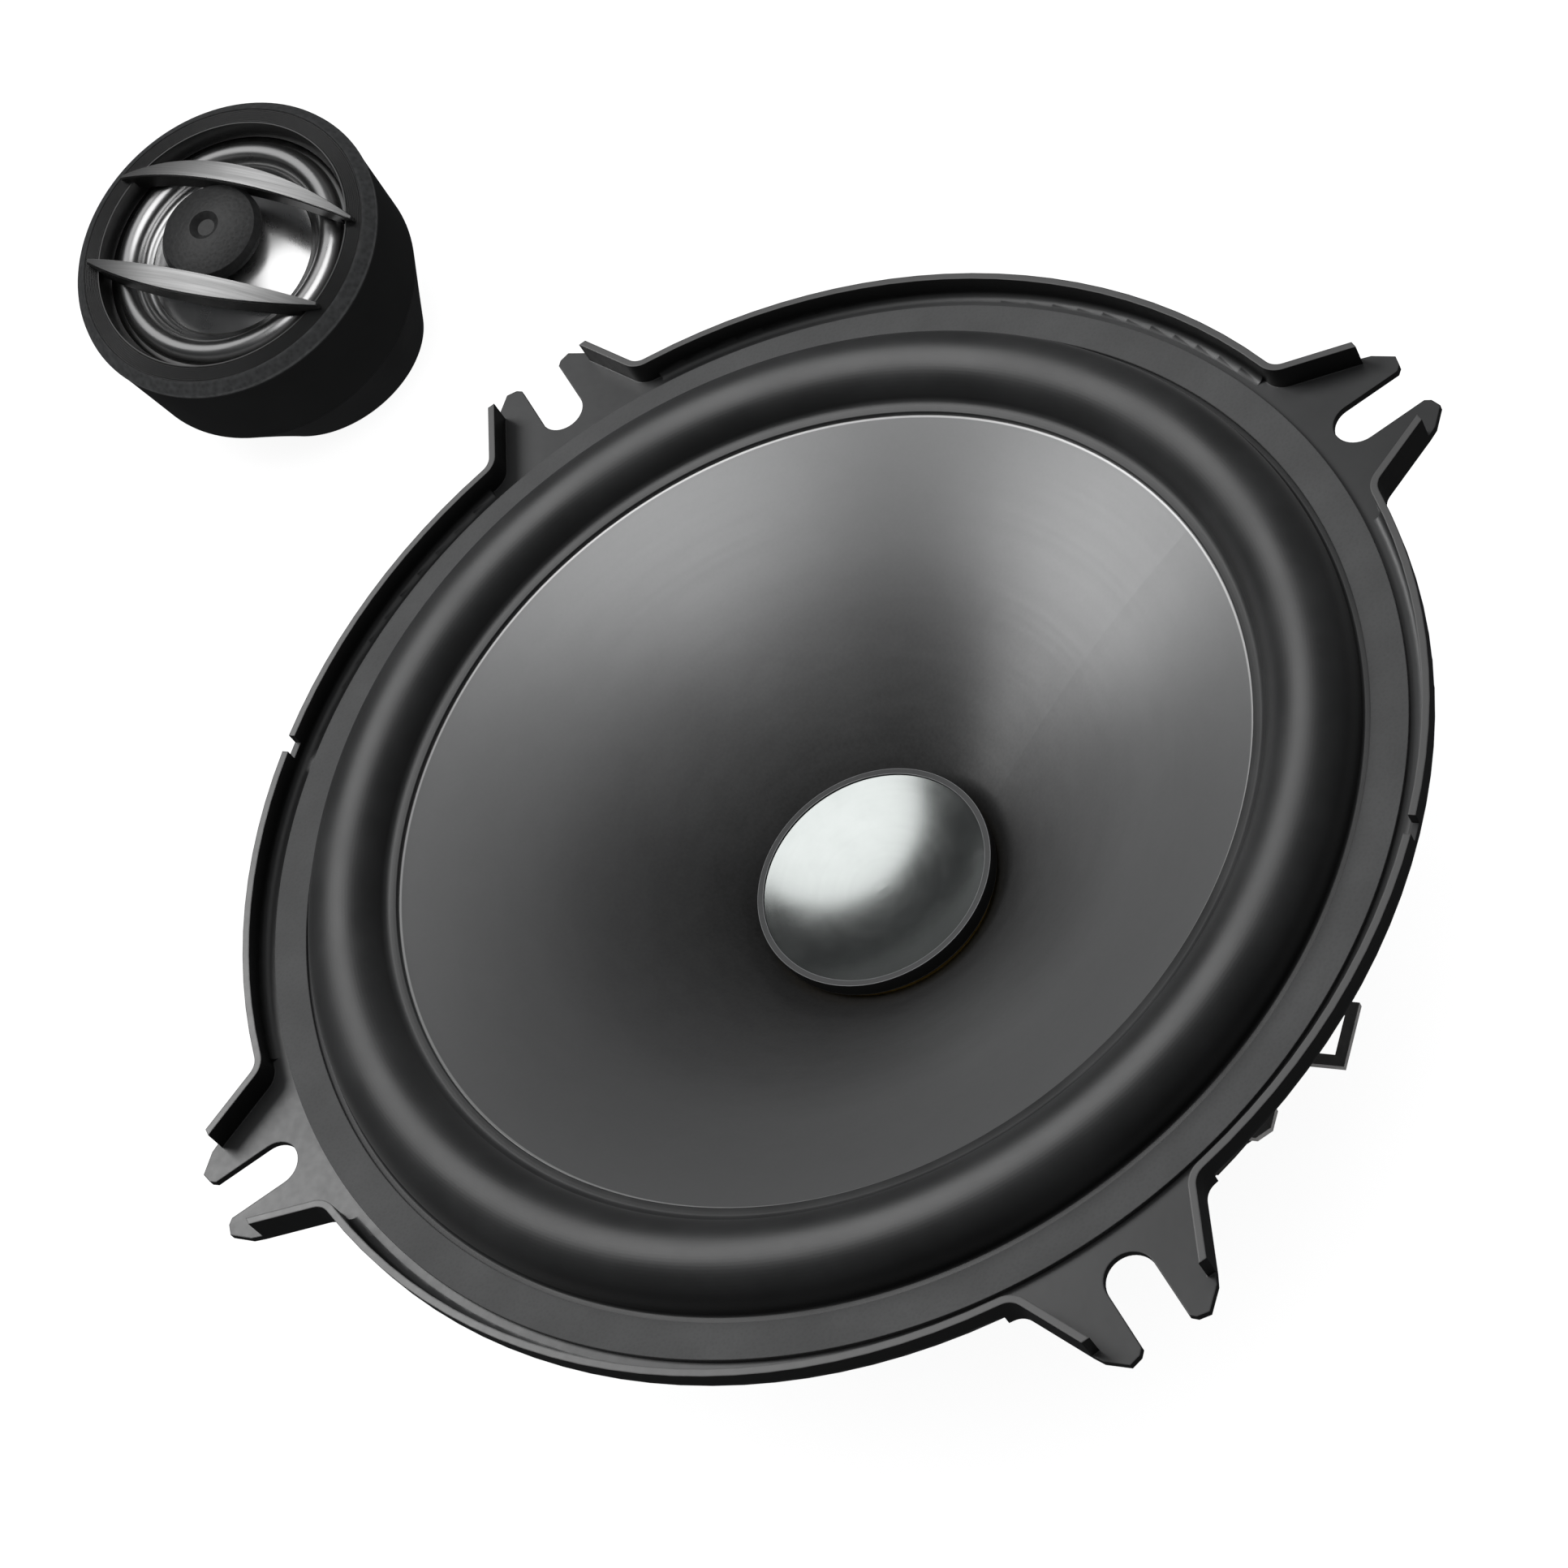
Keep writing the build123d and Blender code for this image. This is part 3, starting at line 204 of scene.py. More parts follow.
# ---------------------------------------------------------------- material helpers
class Finish:
    """A material under construction: its node tree and its shader."""

    def __init__(self, name, place=WOOFER):
        self.made = bpy.data.materials.new(name)
        self.made.use_nodes = True
        self.tree = self.made.node_tree
        self.shader = self.tree.nodes["Principled BSDF"]
        coordinates = self.node("ShaderNodeTexCoord").outputs["Object"]
        if place != WOOFER:
            mapping = self.node("ShaderNodeMapping", {"Vector": coordinates}, vector_type="TEXTURE")
            mapping.inputs["Location"].default_value = place.to_translation()
            mapping.inputs["Rotation"].default_value = place.to_euler()
            coordinates = mapping.outputs[0]
        self.place = coordinates

    def node(self, kind, values=None, **settings):
        """A new node. An input given as a socket is linked, and any other value is set on it."""
        made = self.tree.nodes.new(kind)
        for key, value in settings.items():
            setattr(made, key, value)
        for key, value in (values or {}).items():
            if isinstance(value, bpy.types.NodeSocket):
                self.tree.links.new(value, made.inputs[key])
            else:
                made.inputs[key].default_value = value
        return made

    def maths(self, operation, first, second=0.0, third=0.0):
        return self.node("ShaderNodeMath", {0: first, 1: second, 2: third}, operation=operation).outputs[0]

    def noise(self, scale, detail=2.0, roughness=0.5, vector=None):
        values = {"Vector": vector or self.place, "Scale": scale, "Detail": detail, "Roughness": roughness}
        return self.node("ShaderNodeTexNoise", values).outputs[0]

    def turned_rings(self, density, detail=2.0, roughness=0.5):
        """Uneven rings about the frame's Z axis, as turning or forming leaves them."""
        outwards = self.node("ShaderNodeCombineXYZ", {0: self.maths("MULTIPLY", self.radius(), density)})
        return self.noise(1.0, detail, roughness, outwards.outputs[0])

    def cells(self, scale, vector=None, feature="F1"):
        values = {"Vector": vector or self.place, "Scale": scale}
        return self.node("ShaderNodeTexVoronoi", values, feature=feature).outputs["Distance"]

    def stretched(self, scale):
        """The place scaled differently along each axis, for brushing and weaves."""
        return self.node("ShaderNodeVectorMath", {0: self.place, 1: scale}, operation="MULTIPLY").outputs[0]

    def radius(self):
        flat = self.stretched((1, 1, 0))
        return self.node("ShaderNodeVectorMath", {0: flat}, operation="LENGTH").outputs["Value"]

    def height(self):
        return self.node("ShaderNodeSeparateXYZ", {0: self.place}).outputs[2]

    def span(self, value, low, high, start=0.0, end=1.0):
        """value mapped from low..high to start..end, held at both ends."""
        values = {"Value": value, "From Min": low, "From Max": high, "To Min": start, "To Max": end}
        return self.node("ShaderNodeMapRange", values, clamp=True).outputs["Result"]

    def blend(self, share, first, second):
        """A colour between two colours."""
        mixed = self.node("ShaderNodeMix", data_type="RGBA")
        self.feed(mixed.inputs[0], share)
        self.feed(mixed.inputs[6], first)
        self.feed(mixed.inputs[7], second)
        return mixed.outputs[2]

    def feed(self, socket, value):
        if isinstance(value, bpy.types.NodeSocket):
            self.tree.links.new(value, socket)
        elif isinstance(value, tuple) and len(value) == 3:
            socket.default_value = (*value, 1)
        else:
            socket.default_value = value

    def bump(self, height, depth, normal=None):
        """A normal from a height of 0 to 1 that stands for depth millimetres."""
        values = {"Height": height, "Distance": depth * MM, "Strength": 1.0}
        if normal is not None:
            values["Normal"] = normal
        return self.node("ShaderNodeBump", values).outputs[0]

    def soft_edges(self, radius):
        """A normal that rounds sharp edges by a radius in millimetres."""
        return self.node("ShaderNodeBevel", {"Radius": radius * MM}, samples=6).outputs[0]

    def edge_wear_and_highlight(self, radius):
        """1 on sharp edges and 0 elsewhere, from how far a rounded normal leans off the surface's own."""
        wide = self.soft_edges(radius)
        own = self.node("ShaderNodeNewGeometry").outputs["Normal"]
        along = self.node("ShaderNodeVectorMath", {0: wide, 1: own}, operation="DOT_PRODUCT").outputs["Value"]
        return self.span(along, 0.98, 0.75)

    def done(self, colour, rough, normal=None, **plain):
        """Joins the colour, roughness and normal to the shader and sets its plain values."""
        self.feed(self.shader.inputs["Base Color"], colour)
        self.feed(self.shader.inputs["Roughness"], rough)
        if normal is not None:
            self.feed(self.shader.inputs["Normal"], normal)
        for name, value in plain.items():
            self.shader.inputs[name.replace("_", " ")].default_value = value
        return self.made


def grey(value, warm=0.0):
    """A near-neutral colour, a little warm or cool."""
    return (value * (1 + warm), value, value * (1 - warm))


# ---------------------------------------------------------------- finishes of the woofer
RING_TOP = 30.6 * MM
LIP_TOP = 51.05 * MM


def basket_paint():
    """Black paint with painted shade on steep walls, a painted highlight on the lip's top and paler worn
    edges.
    """
    f = Finish("basket_paint")
    mottle = f.noise(60, 3)
    fine = f.noise(900, 2)
    wear = f.edge_wear_and_highlight(0.35)
    scuffed = f.maths("MULTIPLY", wear, f.span(f.noise(220, 4), 0.45, 0.7))
    painted = f.blend(f.span(mottle, 0.35, 0.65), grey(0.052, -0.02), grey(0.066, -0.02))
    colour = f.blend(f.maths("MULTIPLY", scuffed, 0.5), painted, grey(0.2))
    facing = f.node("ShaderNodeTexCoord").outputs["Normal"]
    upright = f.node("ShaderNodeSeparateXYZ", {0: facing}).outputs[2]
    # painted shade: steep walls are painted near black, and flat faces keep the paint's tone
    clear_of_painted_wall_shade = f.span(f.maths("ABSOLUTE", upright), 0.25, 0.85)
    # painted highlight: the lip's top face is painted paler
    lip_top_painted_highlight = f.span(f.height(), LIP_TOP - 0.15 * MM, LIP_TOP - 0.05 * MM)
    colour = f.blend(clear_of_painted_wall_shade, grey(0.004), f.blend(lip_top_painted_highlight, colour, grey(0.15)))
    sheen = f.maths("MULTIPLY_ADD", mottle, 0.6, f.maths("MULTIPLY", fine, 0.4))
    rough = f.span(sheen, 0.35, 0.65, 0.36, 0.46)
    normal = f.bump(fine, 0.006, f.bump(f.noise(350, 2), 0.012, f.soft_edges(0.22)))
    return f.done(colour, rough, normal, Specular_IOR_Level=0.6, Coat_Weight=0.12, Coat_Roughness=0.35)


def zinc_steel():
    f = Finish("zinc_steel")
    spangle = f.cells(900)
    colour = f.blend(f.span(spangle, 0.2, 0.8), grey(0.42, 0.02), grey(0.56, 0.0))
    rough = f.span(f.noise(700, 3), 0.3, 0.7, 0.28, 0.45)
    normal = f.bump(f.noise(1500, 3), 0.006, f.soft_edges(0.18))
    return f.done(colour, rough, normal, Metallic=1.0)


def gasket_foam():
    f = Finish("gasket_foam")
    pores = f.cells(2600)
    broad = f.noise(120, 3)
    colour = f.blend(f.span(pores, 0.15, 0.6), grey(0.066, -0.015), grey(0.074, -0.015))
    colour = f.blend(f.span(broad, 0.3, 0.7, 0.0, 0.35), colour, grey(0.062))
    normal = f.bump(pores, 0.02, f.bump(f.noise(5200, 2), 0.01))
    return f.done(colour, f.span(broad, 0.3, 0.7, 0.72, 0.84), normal, Sheen_Weight=0.15, Sheen_Roughness=0.5)


def surround_rubber():
    f = Finish("surround_rubber")
    fine = f.noise(2400, 2)
    cloudy = f.noise(90, 4, 0.6)
    radius = f.radius()
    dusted = f.span(cloudy, 0.35, 0.75)
    colour = f.blend(dusted, grey(0.020, -0.02), grey(0.029, -0.02))
    rings = f.maths("SINE", f.maths("MULTIPLY", radius, TURN / (0.32 * MM)))
    normal = f.bump(fine, 0.004, f.bump(rings, 0.0006))
    rough = f.span(f.maths("ADD", cloudy, f.maths("MULTIPLY", fine, 0.3)), 0.5, 0.9, 0.40, 0.48)
    return f.done(colour, rough, normal, Specular_IOR_Level=0.55, Sheen_Weight=0.1, Sheen_Roughness=0.4)


PAINTED_HIGHLIGHT_R = (48.25, 48.6)  # a painted highlight: the fine bright line round the edge of the cone


def cone_film():
    f = Finish("cone_film")
    radius = f.radius()
    grain = f.noise(2600, 2, 0.6)
    drawn = f.noise(1.0, 3, 0.6, f.stretched((240, 240, 800)))
    rings = f.turned_rings(900)
    tone = f.maths("ADD", f.maths("MULTIPLY", grain, 0.5), f.maths("MULTIPLY", drawn, 0.5))
    # painted shade: the cone is painted darker towards the neck, deep inside the cone
    shade = f.blend(f.span(radius, 14 * MM, 36 * MM), grey(0.05), grey(0.19, -0.008))
    shade = f.blend(f.span(radius, 30 * MM, 49 * MM), shade, grey(0.235, -0.008))
    colour = f.blend(f.span(tone, 0.3, 0.7, 0.0, 0.12), shade, grey(0.32, -0.008))
    # painted highlight: a fine bright line painted round the cone's edge
    painted_highlight_start = f.span(radius, PAINTED_HIGHLIGHT_R[0] * MM, (PAINTED_HIGHLIGHT_R[0] + 0.1) * MM)
    painted_highlight_end = f.span(radius, PAINTED_HIGHLIGHT_R[1] * MM, (PAINTED_HIGHLIGHT_R[1] - 0.1) * MM)
    painted_edge_highlight = f.maths("MULTIPLY", painted_highlight_start, painted_highlight_end)
    colour = f.blend(painted_edge_highlight, colour, grey(0.6))
    rough = f.span(rings, 0.3, 0.7, 0.34, 0.37)
    normal = f.bump(grain, 0.003, f.bump(rings, 0.0015))
    return f.done(colour, rough, normal, Metallic=0.5, Specular_IOR_Level=0.5)


def mirror_cap():
    f = Finish("mirror_cap")
    haze = f.noise(160, 4, 0.6)
    rings = f.turned_rings(1500)
    colour = f.blend(f.span(haze, 0.3, 0.7), (0.46, 0.485, 0.475), (0.52, 0.545, 0.535))
    rough = f.span(f.maths("ADD", haze, f.maths("MULTIPLY", rings, 0.5)), 0.5, 1.0, 0.21, 0.27)
    return f.done(colour, rough, f.bump(rings, 0.0002), Metallic=1.0)


def ring_plastic():
    """Black wall, satin grey on top, with painted highlights along its edges."""
    f = Finish("ring_plastic")
    fine = f.noise(1800, 2)
    top = f.span(f.height(), RING_TOP - 0.12 * MM, RING_TOP - 0.04 * MM)
    side = f.blend(fine, grey(0.005), grey(0.009))
    colour = f.blend(top, side, f.blend(fine, grey(0.055, -0.02), grey(0.075, -0.02)))
    # painted highlight: bright lines painted along the ring's edges
    colour = f.blend(f.edge_wear_and_highlight(0.16), colour, grey(0.6, -0.02))
    normal = f.bump(fine, 0.003, f.soft_edges(0.08))
    return f.done(colour, f.span(fine, 0.3, 0.7, 0.3, 0.4), normal, Specular_IOR_Level=0.6)


def amber_film(name, place):
    f = Finish(name, place)
    cloudy = f.noise(240, 3)
    colour = f.blend(cloudy, (0.42, 0.27, 0.06), (0.60, 0.42, 0.11))
    normal = f.bump(f.noise(1200, 2), 0.004)
    return f.done(colour, f.span(cloudy, 0.3, 0.7, 0.2, 0.32), normal, Metallic=0.6, Coat_Weight=0.4)


def copper_wire(name, place, pitch):
    f = Finish(name, place)
    turns = f.maths("SINE", f.maths("MULTIPLY", f.height(), TURN / (pitch * MM)))
    groove_and_painted_shade = f.span(turns, -1.0, 0.2)
    # painted shade: the copper is painted darker between the turns of wire
    colour = f.blend(groove_and_painted_shade, (0.16, 0.05, 0.018), (0.62, 0.27, 0.10))
    rough = f.span(f.noise(900, 2), 0.3, 0.7, 0.22, 0.34)
    return f.done(colour, rough, f.bump(groove_and_painted_shade, pitch * 0.3), Metallic=0.9, Coat_Weight=0.5)


def spider_cloth():
    f = Finish("spider_cloth")
    across = f.node("ShaderNodeSeparateXYZ", {0: f.place}).outputs
    warp = f.maths("SINE", f.maths("MULTIPLY", across[0], TURN / (0.62 * MM)))
    weft = f.maths("SINE", f.maths("MULTIPLY", across[1], TURN / (0.62 * MM)))
    weave = f.span(f.maths("MULTIPLY", warp, weft), -0.8, 0.8)
    stain = f.noise(110, 4)
    thread = f.blend(f.span(stain, 0.3, 0.7), (0.40, 0.27, 0.075), (0.55, 0.40, 0.15))
    colour = f.blend(weave, (0.22, 0.14, 0.035), thread)
    normal = f.bump(weave, 0.09, f.bump(f.noise(3000, 2), 0.02))
    return f.done(colour, f.span(stain, 0.3, 0.7, 0.7, 0.85), normal, Sheen_Weight=0.25, Sheen_Roughness=0.5)


def motor_steel(name="motor_steel", place=WOOFER, tone=0.022):
    f = Finish(name, place)
    rings = f.turned_rings(2600, 3, 0.6)
    patina = f.noise(140, 4, 0.6)
    wear = f.edge_wear_and_highlight(0.5)
    base = f.blend(f.span(patina, 0.3, 0.7), grey(tone), grey(tone * 1.6, 0.02))
    colour = f.blend(f.maths("MULTIPLY", wear, f.span(f.noise(400, 3), 0.4, 0.7, 0.0, 0.6)), base, grey(0.3))
    normal = f.bump(rings, 0.006, f.bump(f.noise(1300, 2), 0.005, f.soft_edges(0.25)))
    return f.done(colour, f.span(patina, 0.3, 0.7, 0.32, 0.5), normal, Metallic=0.85)


def ferrite():
    f = Finish("ferrite")
    speck = f.cells(1700)
    patina = f.noise(90, 5, 0.65)
    chips = f.maths("MULTIPLY", f.edge_wear_and_highlight(0.7), f.span(f.noise(260, 4), 0.5, 0.62))
    colour = f.blend(f.span(speck, 0.1, 0.7), grey(0.026), grey(0.048, 0.02))
    colour = f.blend(f.span(patina, 0.3, 0.7, 0.0, 0.5), colour, grey(0.034))
    colour = f.blend(chips, colour, grey(0.085, 0.02))
    normal = f.bump(f.noise(800, 4, 0.7), 0.03, f.bump(chips, 0.08, f.soft_edges(0.3)))
    return f.done(colour, f.span(patina, 0.3, 0.7, 0.6, 0.78), normal, Specular_IOR_Level=0.4)


def phenolic():
    f = Finish("phenolic")
    fibres = f.noise(1.0, 3, 0.6, f.stretched((500, 1700, 4000)))
    layers = f.maths("SINE", f.maths("MULTIPLY", f.height(), TURN / (0.26 * MM)))
    colour = f.blend(f.span(fibres, 0.35, 0.65), (0.014, 0.012, 0.010), (0.026, 0.023, 0.020))
    colour = f.blend(f.span(layers, -1, 1, 0, 0.3), colour, (0.045, 0.040, 0.034))
    normal = f.bump(fibres, 0.012, f.soft_edges(0.12))
    return f.done(colour, f.span(fibres, 0.3, 0.7, 0.42, 0.58), normal, Coat_Weight=0.2)


def tinned_tab(name, place):
    f = Finish(name, place)
    brushed = f.noise(1.0, 3, 0.6, f.stretched((90, 2600, 2600)))
    dull = f.noise(300, 4)
    colour = f.blend(f.span(dull, 0.3, 0.7), grey(0.32, 0.02), grey(0.46, 0.02))
    normal = f.bump(brushed, 0.006, f.soft_edges(0.15))
    return f.done(colour, f.span(brushed, 0.3, 0.7, 0.36, 0.5), normal, Metallic=0.5)


def tinsel_braid():
    f = Finish("tinsel_braid")
    strands = f.cells(3200)
    colour = f.blend(f.span(strands, 0.1, 0.6), (0.24, 0.10, 0.05), (0.68, 0.40, 0.24))
    return f.done(colour, f.span(strands, 0.0, 0.7, 0.3, 0.5), f.bump(strands, 0.05), Metallic=0.9)


# ---------------------------------------------------------------- finishes of the tweeter
GRAIN_WANDER = 0.4 * MM


def grain_of(f, scale):
    """Moulded leather-like grain: small raised cells with shallow valleys."""
    wander = f.node("ShaderNodeVectorMath", operation="ADD")
    f.feed(wander.inputs[0], f.place)
    shift = f.node("ShaderNodeTexNoise", {"Vector": f.place, "Scale": scale * 0.5})
    offset = {0: shift.outputs["Color"], 1: (GRAIN_WANDER,) * 3}
    f.feed(wander.inputs[1], f.node("ShaderNodeVectorMath", offset, operation="MULTIPLY").outputs[0])
    cells = f.cells(scale, wander.outputs[0], "SMOOTH_F1")
    return f.maths("ADD", f.maths("MULTIPLY", cells, 0.7), f.maths("MULTIPLY", f.noise(scale * 1.7, 2), 0.3))


def housing_plastic():
    """Grained on the front rim, smooth on the side wall."""
    f = Finish("housing_plastic", RIM)
    grain = grain_of(f, 1500)
    front = f.span(f.height(), -0.75 * MM, -0.35 * MM)
    cloudy = f.noise(130, 3)
    colour = f.blend(f.span(grain, 0.2, 0.7), grey(0.062, -0.02), grey(0.10, -0.02))
    colour = f.blend(front, f.blend(cloudy, grey(0.006, -0.02), grey(0.009, -0.02)), colour)
    depth = f.maths("MULTIPLY", grain, f.span(front, 0, 1, 0.12, 1.0))
    rough = f.span(front, 0.0, 1.0, 0.45, 0.5)
    normal = f.bump(depth, 0.05, f.bump(f.noise(2200, 2), 0.002, f.soft_edges(0.35)))
    return f.done(colour, rough, normal, Specular_IOR_Level=0.15)


def cup_plastic(name="cup_plastic"):
    f = Finish(name)
    fine = f.noise(2200, 2)
    cloudy = f.noise(110, 3)
    colour = f.blend(f.span(cloudy, 0.3, 0.7), grey(0.006, -0.02), grey(0.009, -0.02))
    normal = f.bump(fine, 0.004, f.soft_edges(0.3))
    rough = f.span(f.maths("ADD", cloudy, f.maths("MULTIPLY", fine, 0.3)), 0.5, 0.9, 0.42, 0.5)
    return f.done(colour, rough, normal, Specular_IOR_Level=0.12)


def grooved_gloss():
    f = Finish("grooved_gloss", RIM)
    fine = f.noise(900, 3)
    colour = f.blend(fine, grey(0.016, -0.01), grey(0.026, -0.01))
    beyond_painted_throat_shade = f.span(f.radius(), 18.55 * MM, 18.85 * MM)
    # painted shade: the inner wall down into the tweeter is painted near black
    colour = f.blend(beyond_painted_throat_shade, grey(0.004), colour)
    rough = f.maths("ADD", f.span(beyond_painted_throat_shade, 0, 1, 0.25, 0.0), f.span(fine, 0.3, 0.7, 0.2, 0.27))
    normal = f.bump(fine, 0.0015, f.soft_edges(0.05))
    return f.done(colour, rough, normal, Specular_IOR_Level=0.75, Coat_Weight=0.3, Coat_Roughness=0.12)


def guard_plastic():
    """Grained on the disc, smooth satin on the bars."""
    f = Finish("guard_plastic", RIM)
    grain = grain_of(f, 1900)
    radius = f.radius()
    disc = f.maths("MULTIPLY", f.span(radius, 6.95 * MM, 6.8 * MM), f.span(radius, 2.1 * MM, 2.25 * MM))
    on_disc = f.span(radius, 7.6 * MM, 7.4 * MM)
    bars = f.blend(f.noise(500, 2), grey(0.012), grey(0.020))
    disc_tone = f.blend(f.span(grain, 0.2, 0.7), grey(0.040, -0.01), grey(0.062, -0.01))
    colour = f.blend(on_disc, bars, disc_tone)
    depth = f.maths("MULTIPLY", grain, f.span(disc, 0, 1, 0.08, 1.0))
    normal = f.bump(depth, 0.045, f.bump(f.noise(2600, 2), 0.003, f.soft_edges(0.16)))
    return f.done(colour, f.span(on_disc, 0, 1, 0.34, 0.46), normal, Specular_IOR_Level=0.5)


def brushed_trim():
    """Aluminium brushed along the bars."""
    turned = RIM @ Matrix.Rotation(BAR_ANGLE, 4, "Z")
    f = Finish("brushed_trim", turned)
    lines = f.noise(1.0, 4, 0.65, f.stretched((60, 5200, 200)))
    broad = f.noise(1.0, 2, 0.5, f.stretched((25, 900, 60)))
    tone = f.maths("ADD", f.maths("MULTIPLY", lines, 0.6), f.maths("MULTIPLY", broad, 0.4))
    colour = f.blend(f.span(tone, 0.35, 0.65), grey(0.38), grey(0.56))
    colour = f.blend(f.edge_wear_and_highlight(0.12), colour, grey(0.85))
    normal = f.bump(lines, 0.008, f.soft_edges(0.1))
    return f.done(colour, f.span(tone, 0.35, 0.65, 0.5, 0.40), normal, Metallic=1.0, Anisotropic=0.3)


def bright_foil(name="bright_foil", tone=0.72, rough=(0.26, 0.32)):
    f = Finish(name, RIM)
    haze = f.noise(320, 3)
    rings = f.turned_rings(1800)
    colour = f.blend(f.span(haze, 0.3, 0.7), grey(tone * 0.95), grey(tone))
    roughness = f.span(f.maths("ADD", haze, f.maths("MULTIPLY", rings, 0.4)), 0.5, 0.95, *rough)
    return f.done(colour, roughness, f.bump(rings, 0.0002, f.bump(haze, 0.0008)), Metallic=1.0)


def nickel():
    f = Finish("nickel", RIM)
    haze = f.noise(500, 3)
    colour = f.blend(haze, grey(0.55, 0.03), grey(0.66, 0.03))
    return f.done(colour, f.span(haze, 0.3, 0.7, 0.14, 0.24), f.soft_edges(0.3), Metallic=1.0)


def grommet_rubber():
    f = Finish("grommet_rubber", FOOT)
    fine = f.noise(1500, 3)
    colour = f.blend(fine, grey(0.012), grey(0.022))
    return f.done(colour, f.span(fine, 0.3, 0.7, 0.55, 0.7), f.bump(fine, 0.012), Sheen_Weight=0.2)


paint = basket_paint()
steel = motor_steel()
tweeter_steel = motor_steel("tweeter_motor_steel", RIM, 0.03)
zinc = zinc_steel()
foil = bright_foil()
cup = cup_plastic()
tab = tinned_tab("tinned_tab", TERMINALS)
trim = brushed_trim()
CAD_FINISHES = {
    "basket": paint,
    "basket_rivets": zinc,
    "cone": cone_film(),
    "dust_cap": mirror_cap(),
    "dust_cap_ring": ring_plastic(),
    "voice_coil_former": amber_film("amber_film", WOOFER),
    "voice_coil_winding": copper_wire("copper_wire", WOOFER, 0.36),
    "top_plate": steel,
    "magnet_ring": ferrite(),
    "back_plate": steel,
    "pole_piece": steel,
    "terminal_board": phenolic(),
    "terminal_plus": tab,
    "terminal_minus": tab,
    "terminal_rivets": zinc,
    "mounting_cup": cup,
    "base_plate": cup_plastic("base_plastic"),
    "tweeter_housing": housing_plastic(),
    "tweeter_front_ring": grooved_gloss(),
    "tweeter_guard": guard_plastic(),
    "guard_trim_upper": trim,
    "guard_trim_lower": trim,
    "tweeter_dome": foil,
    "tweeter_coil_former": amber_film("tweeter_amber_film", RIM),
    "tweeter_coil_winding": copper_wire("tweeter_copper_wire", RIM, 0.14),
    "tweeter_magnet": nickel(),
    "tweeter_pole_cap": tweeter_steel,
    "tweeter_yoke": tweeter_steel,
    "tweeter_chassis": cup,
    "tweeter_terminals": tinned_tab("tweeter_tab", RIM),
}
for node_name, finish in CAD_FINISHES.items():
    for material_slot in nodes[node_name].material_slots:
        material_slot.material = finish

# ---------------------------------------------------------------- surround
EAR_TOP = 48.0
ROLL_CENTRE = (54.7, EAR_TOP + 0.66)
ROLL_R = 4.8
ROLL_SKIN = 0.5
LAND_TOP = EAR_TOP + 1.8
LAND_INNER_R = 48.6
FOOT_R = 62.3
FOOT_TOP = EAR_TOP + 0.3
inner_start = math.degrees(math.pi - math.asin((LAND_TOP - ROLL_CENTRE[1] + 0.35) / ROLL_R))
under_r = ROLL_R - ROLL_SKIN
under_start = math.degrees(math.pi - math.asin((LAND_TOP - ROLL_SKIN - ROLL_CENTRE[1]) / under_r))
surround_profile = [
    (LAND_INNER_R + 0.02, LAND_TOP - ROLL_SKIN),
    (LAND_INNER_R, LAND_TOP - 0.12),
    (LAND_INNER_R + 0.12, LAND_TOP),
    (LAND_INNER_R + 0.9, LAND_TOP),
    *arc(ROLL_CENTRE, ROLL_R, inner_start, 0, 48),
    (ROLL_CENTRE[0] + ROLL_R + 0.08, FOOT_TOP + 0.08),
    (ROLL_CENTRE[0] + ROLL_R + 0.35, FOOT_TOP),
    (FOOT_R, FOOT_TOP),
    (FOOT_R, EAR_TOP),
    (ROLL_CENTRE[0] + under_r, EAR_TOP),
    *arc(ROLL_CENTRE, under_r, 0, under_start, 48),
]
surround = lathe("surround_roll", WOOFER, surround_profile, 360)
surround.data.materials.append(surround_rubber())
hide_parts("surround")
radial_blend(surround, "woofer_frame", "woofer_cone", WOOFER, ROLL_CENTRE[0] + ROLL_R, 50.0)

# ---------------------------------------------------------------- front gasket
GASKET_R = (60.4, 64.3)
GASKET_TOP = EAR_TOP + 0.63
gasket_profile = rounded(
    [
        (GASKET_R[0], FOOT_TOP + 0.05),
        (FOOT_R + 0.05, FOOT_TOP + 0.05),
        (FOOT_R + 0.05, EAR_TOP),
        (GASKET_R[1], EAR_TOP),
        (GASKET_R[1], GASKET_TOP),
        (GASKET_R[0], GASKET_TOP),
    ],
    0.1,
)
gasket = lathe("gasket_strip", WOOFER, gasket_profile, 360)
gasket.data.materials.append(gasket_foam())
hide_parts("front_gasket")
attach(gasket, "woofer_frame")

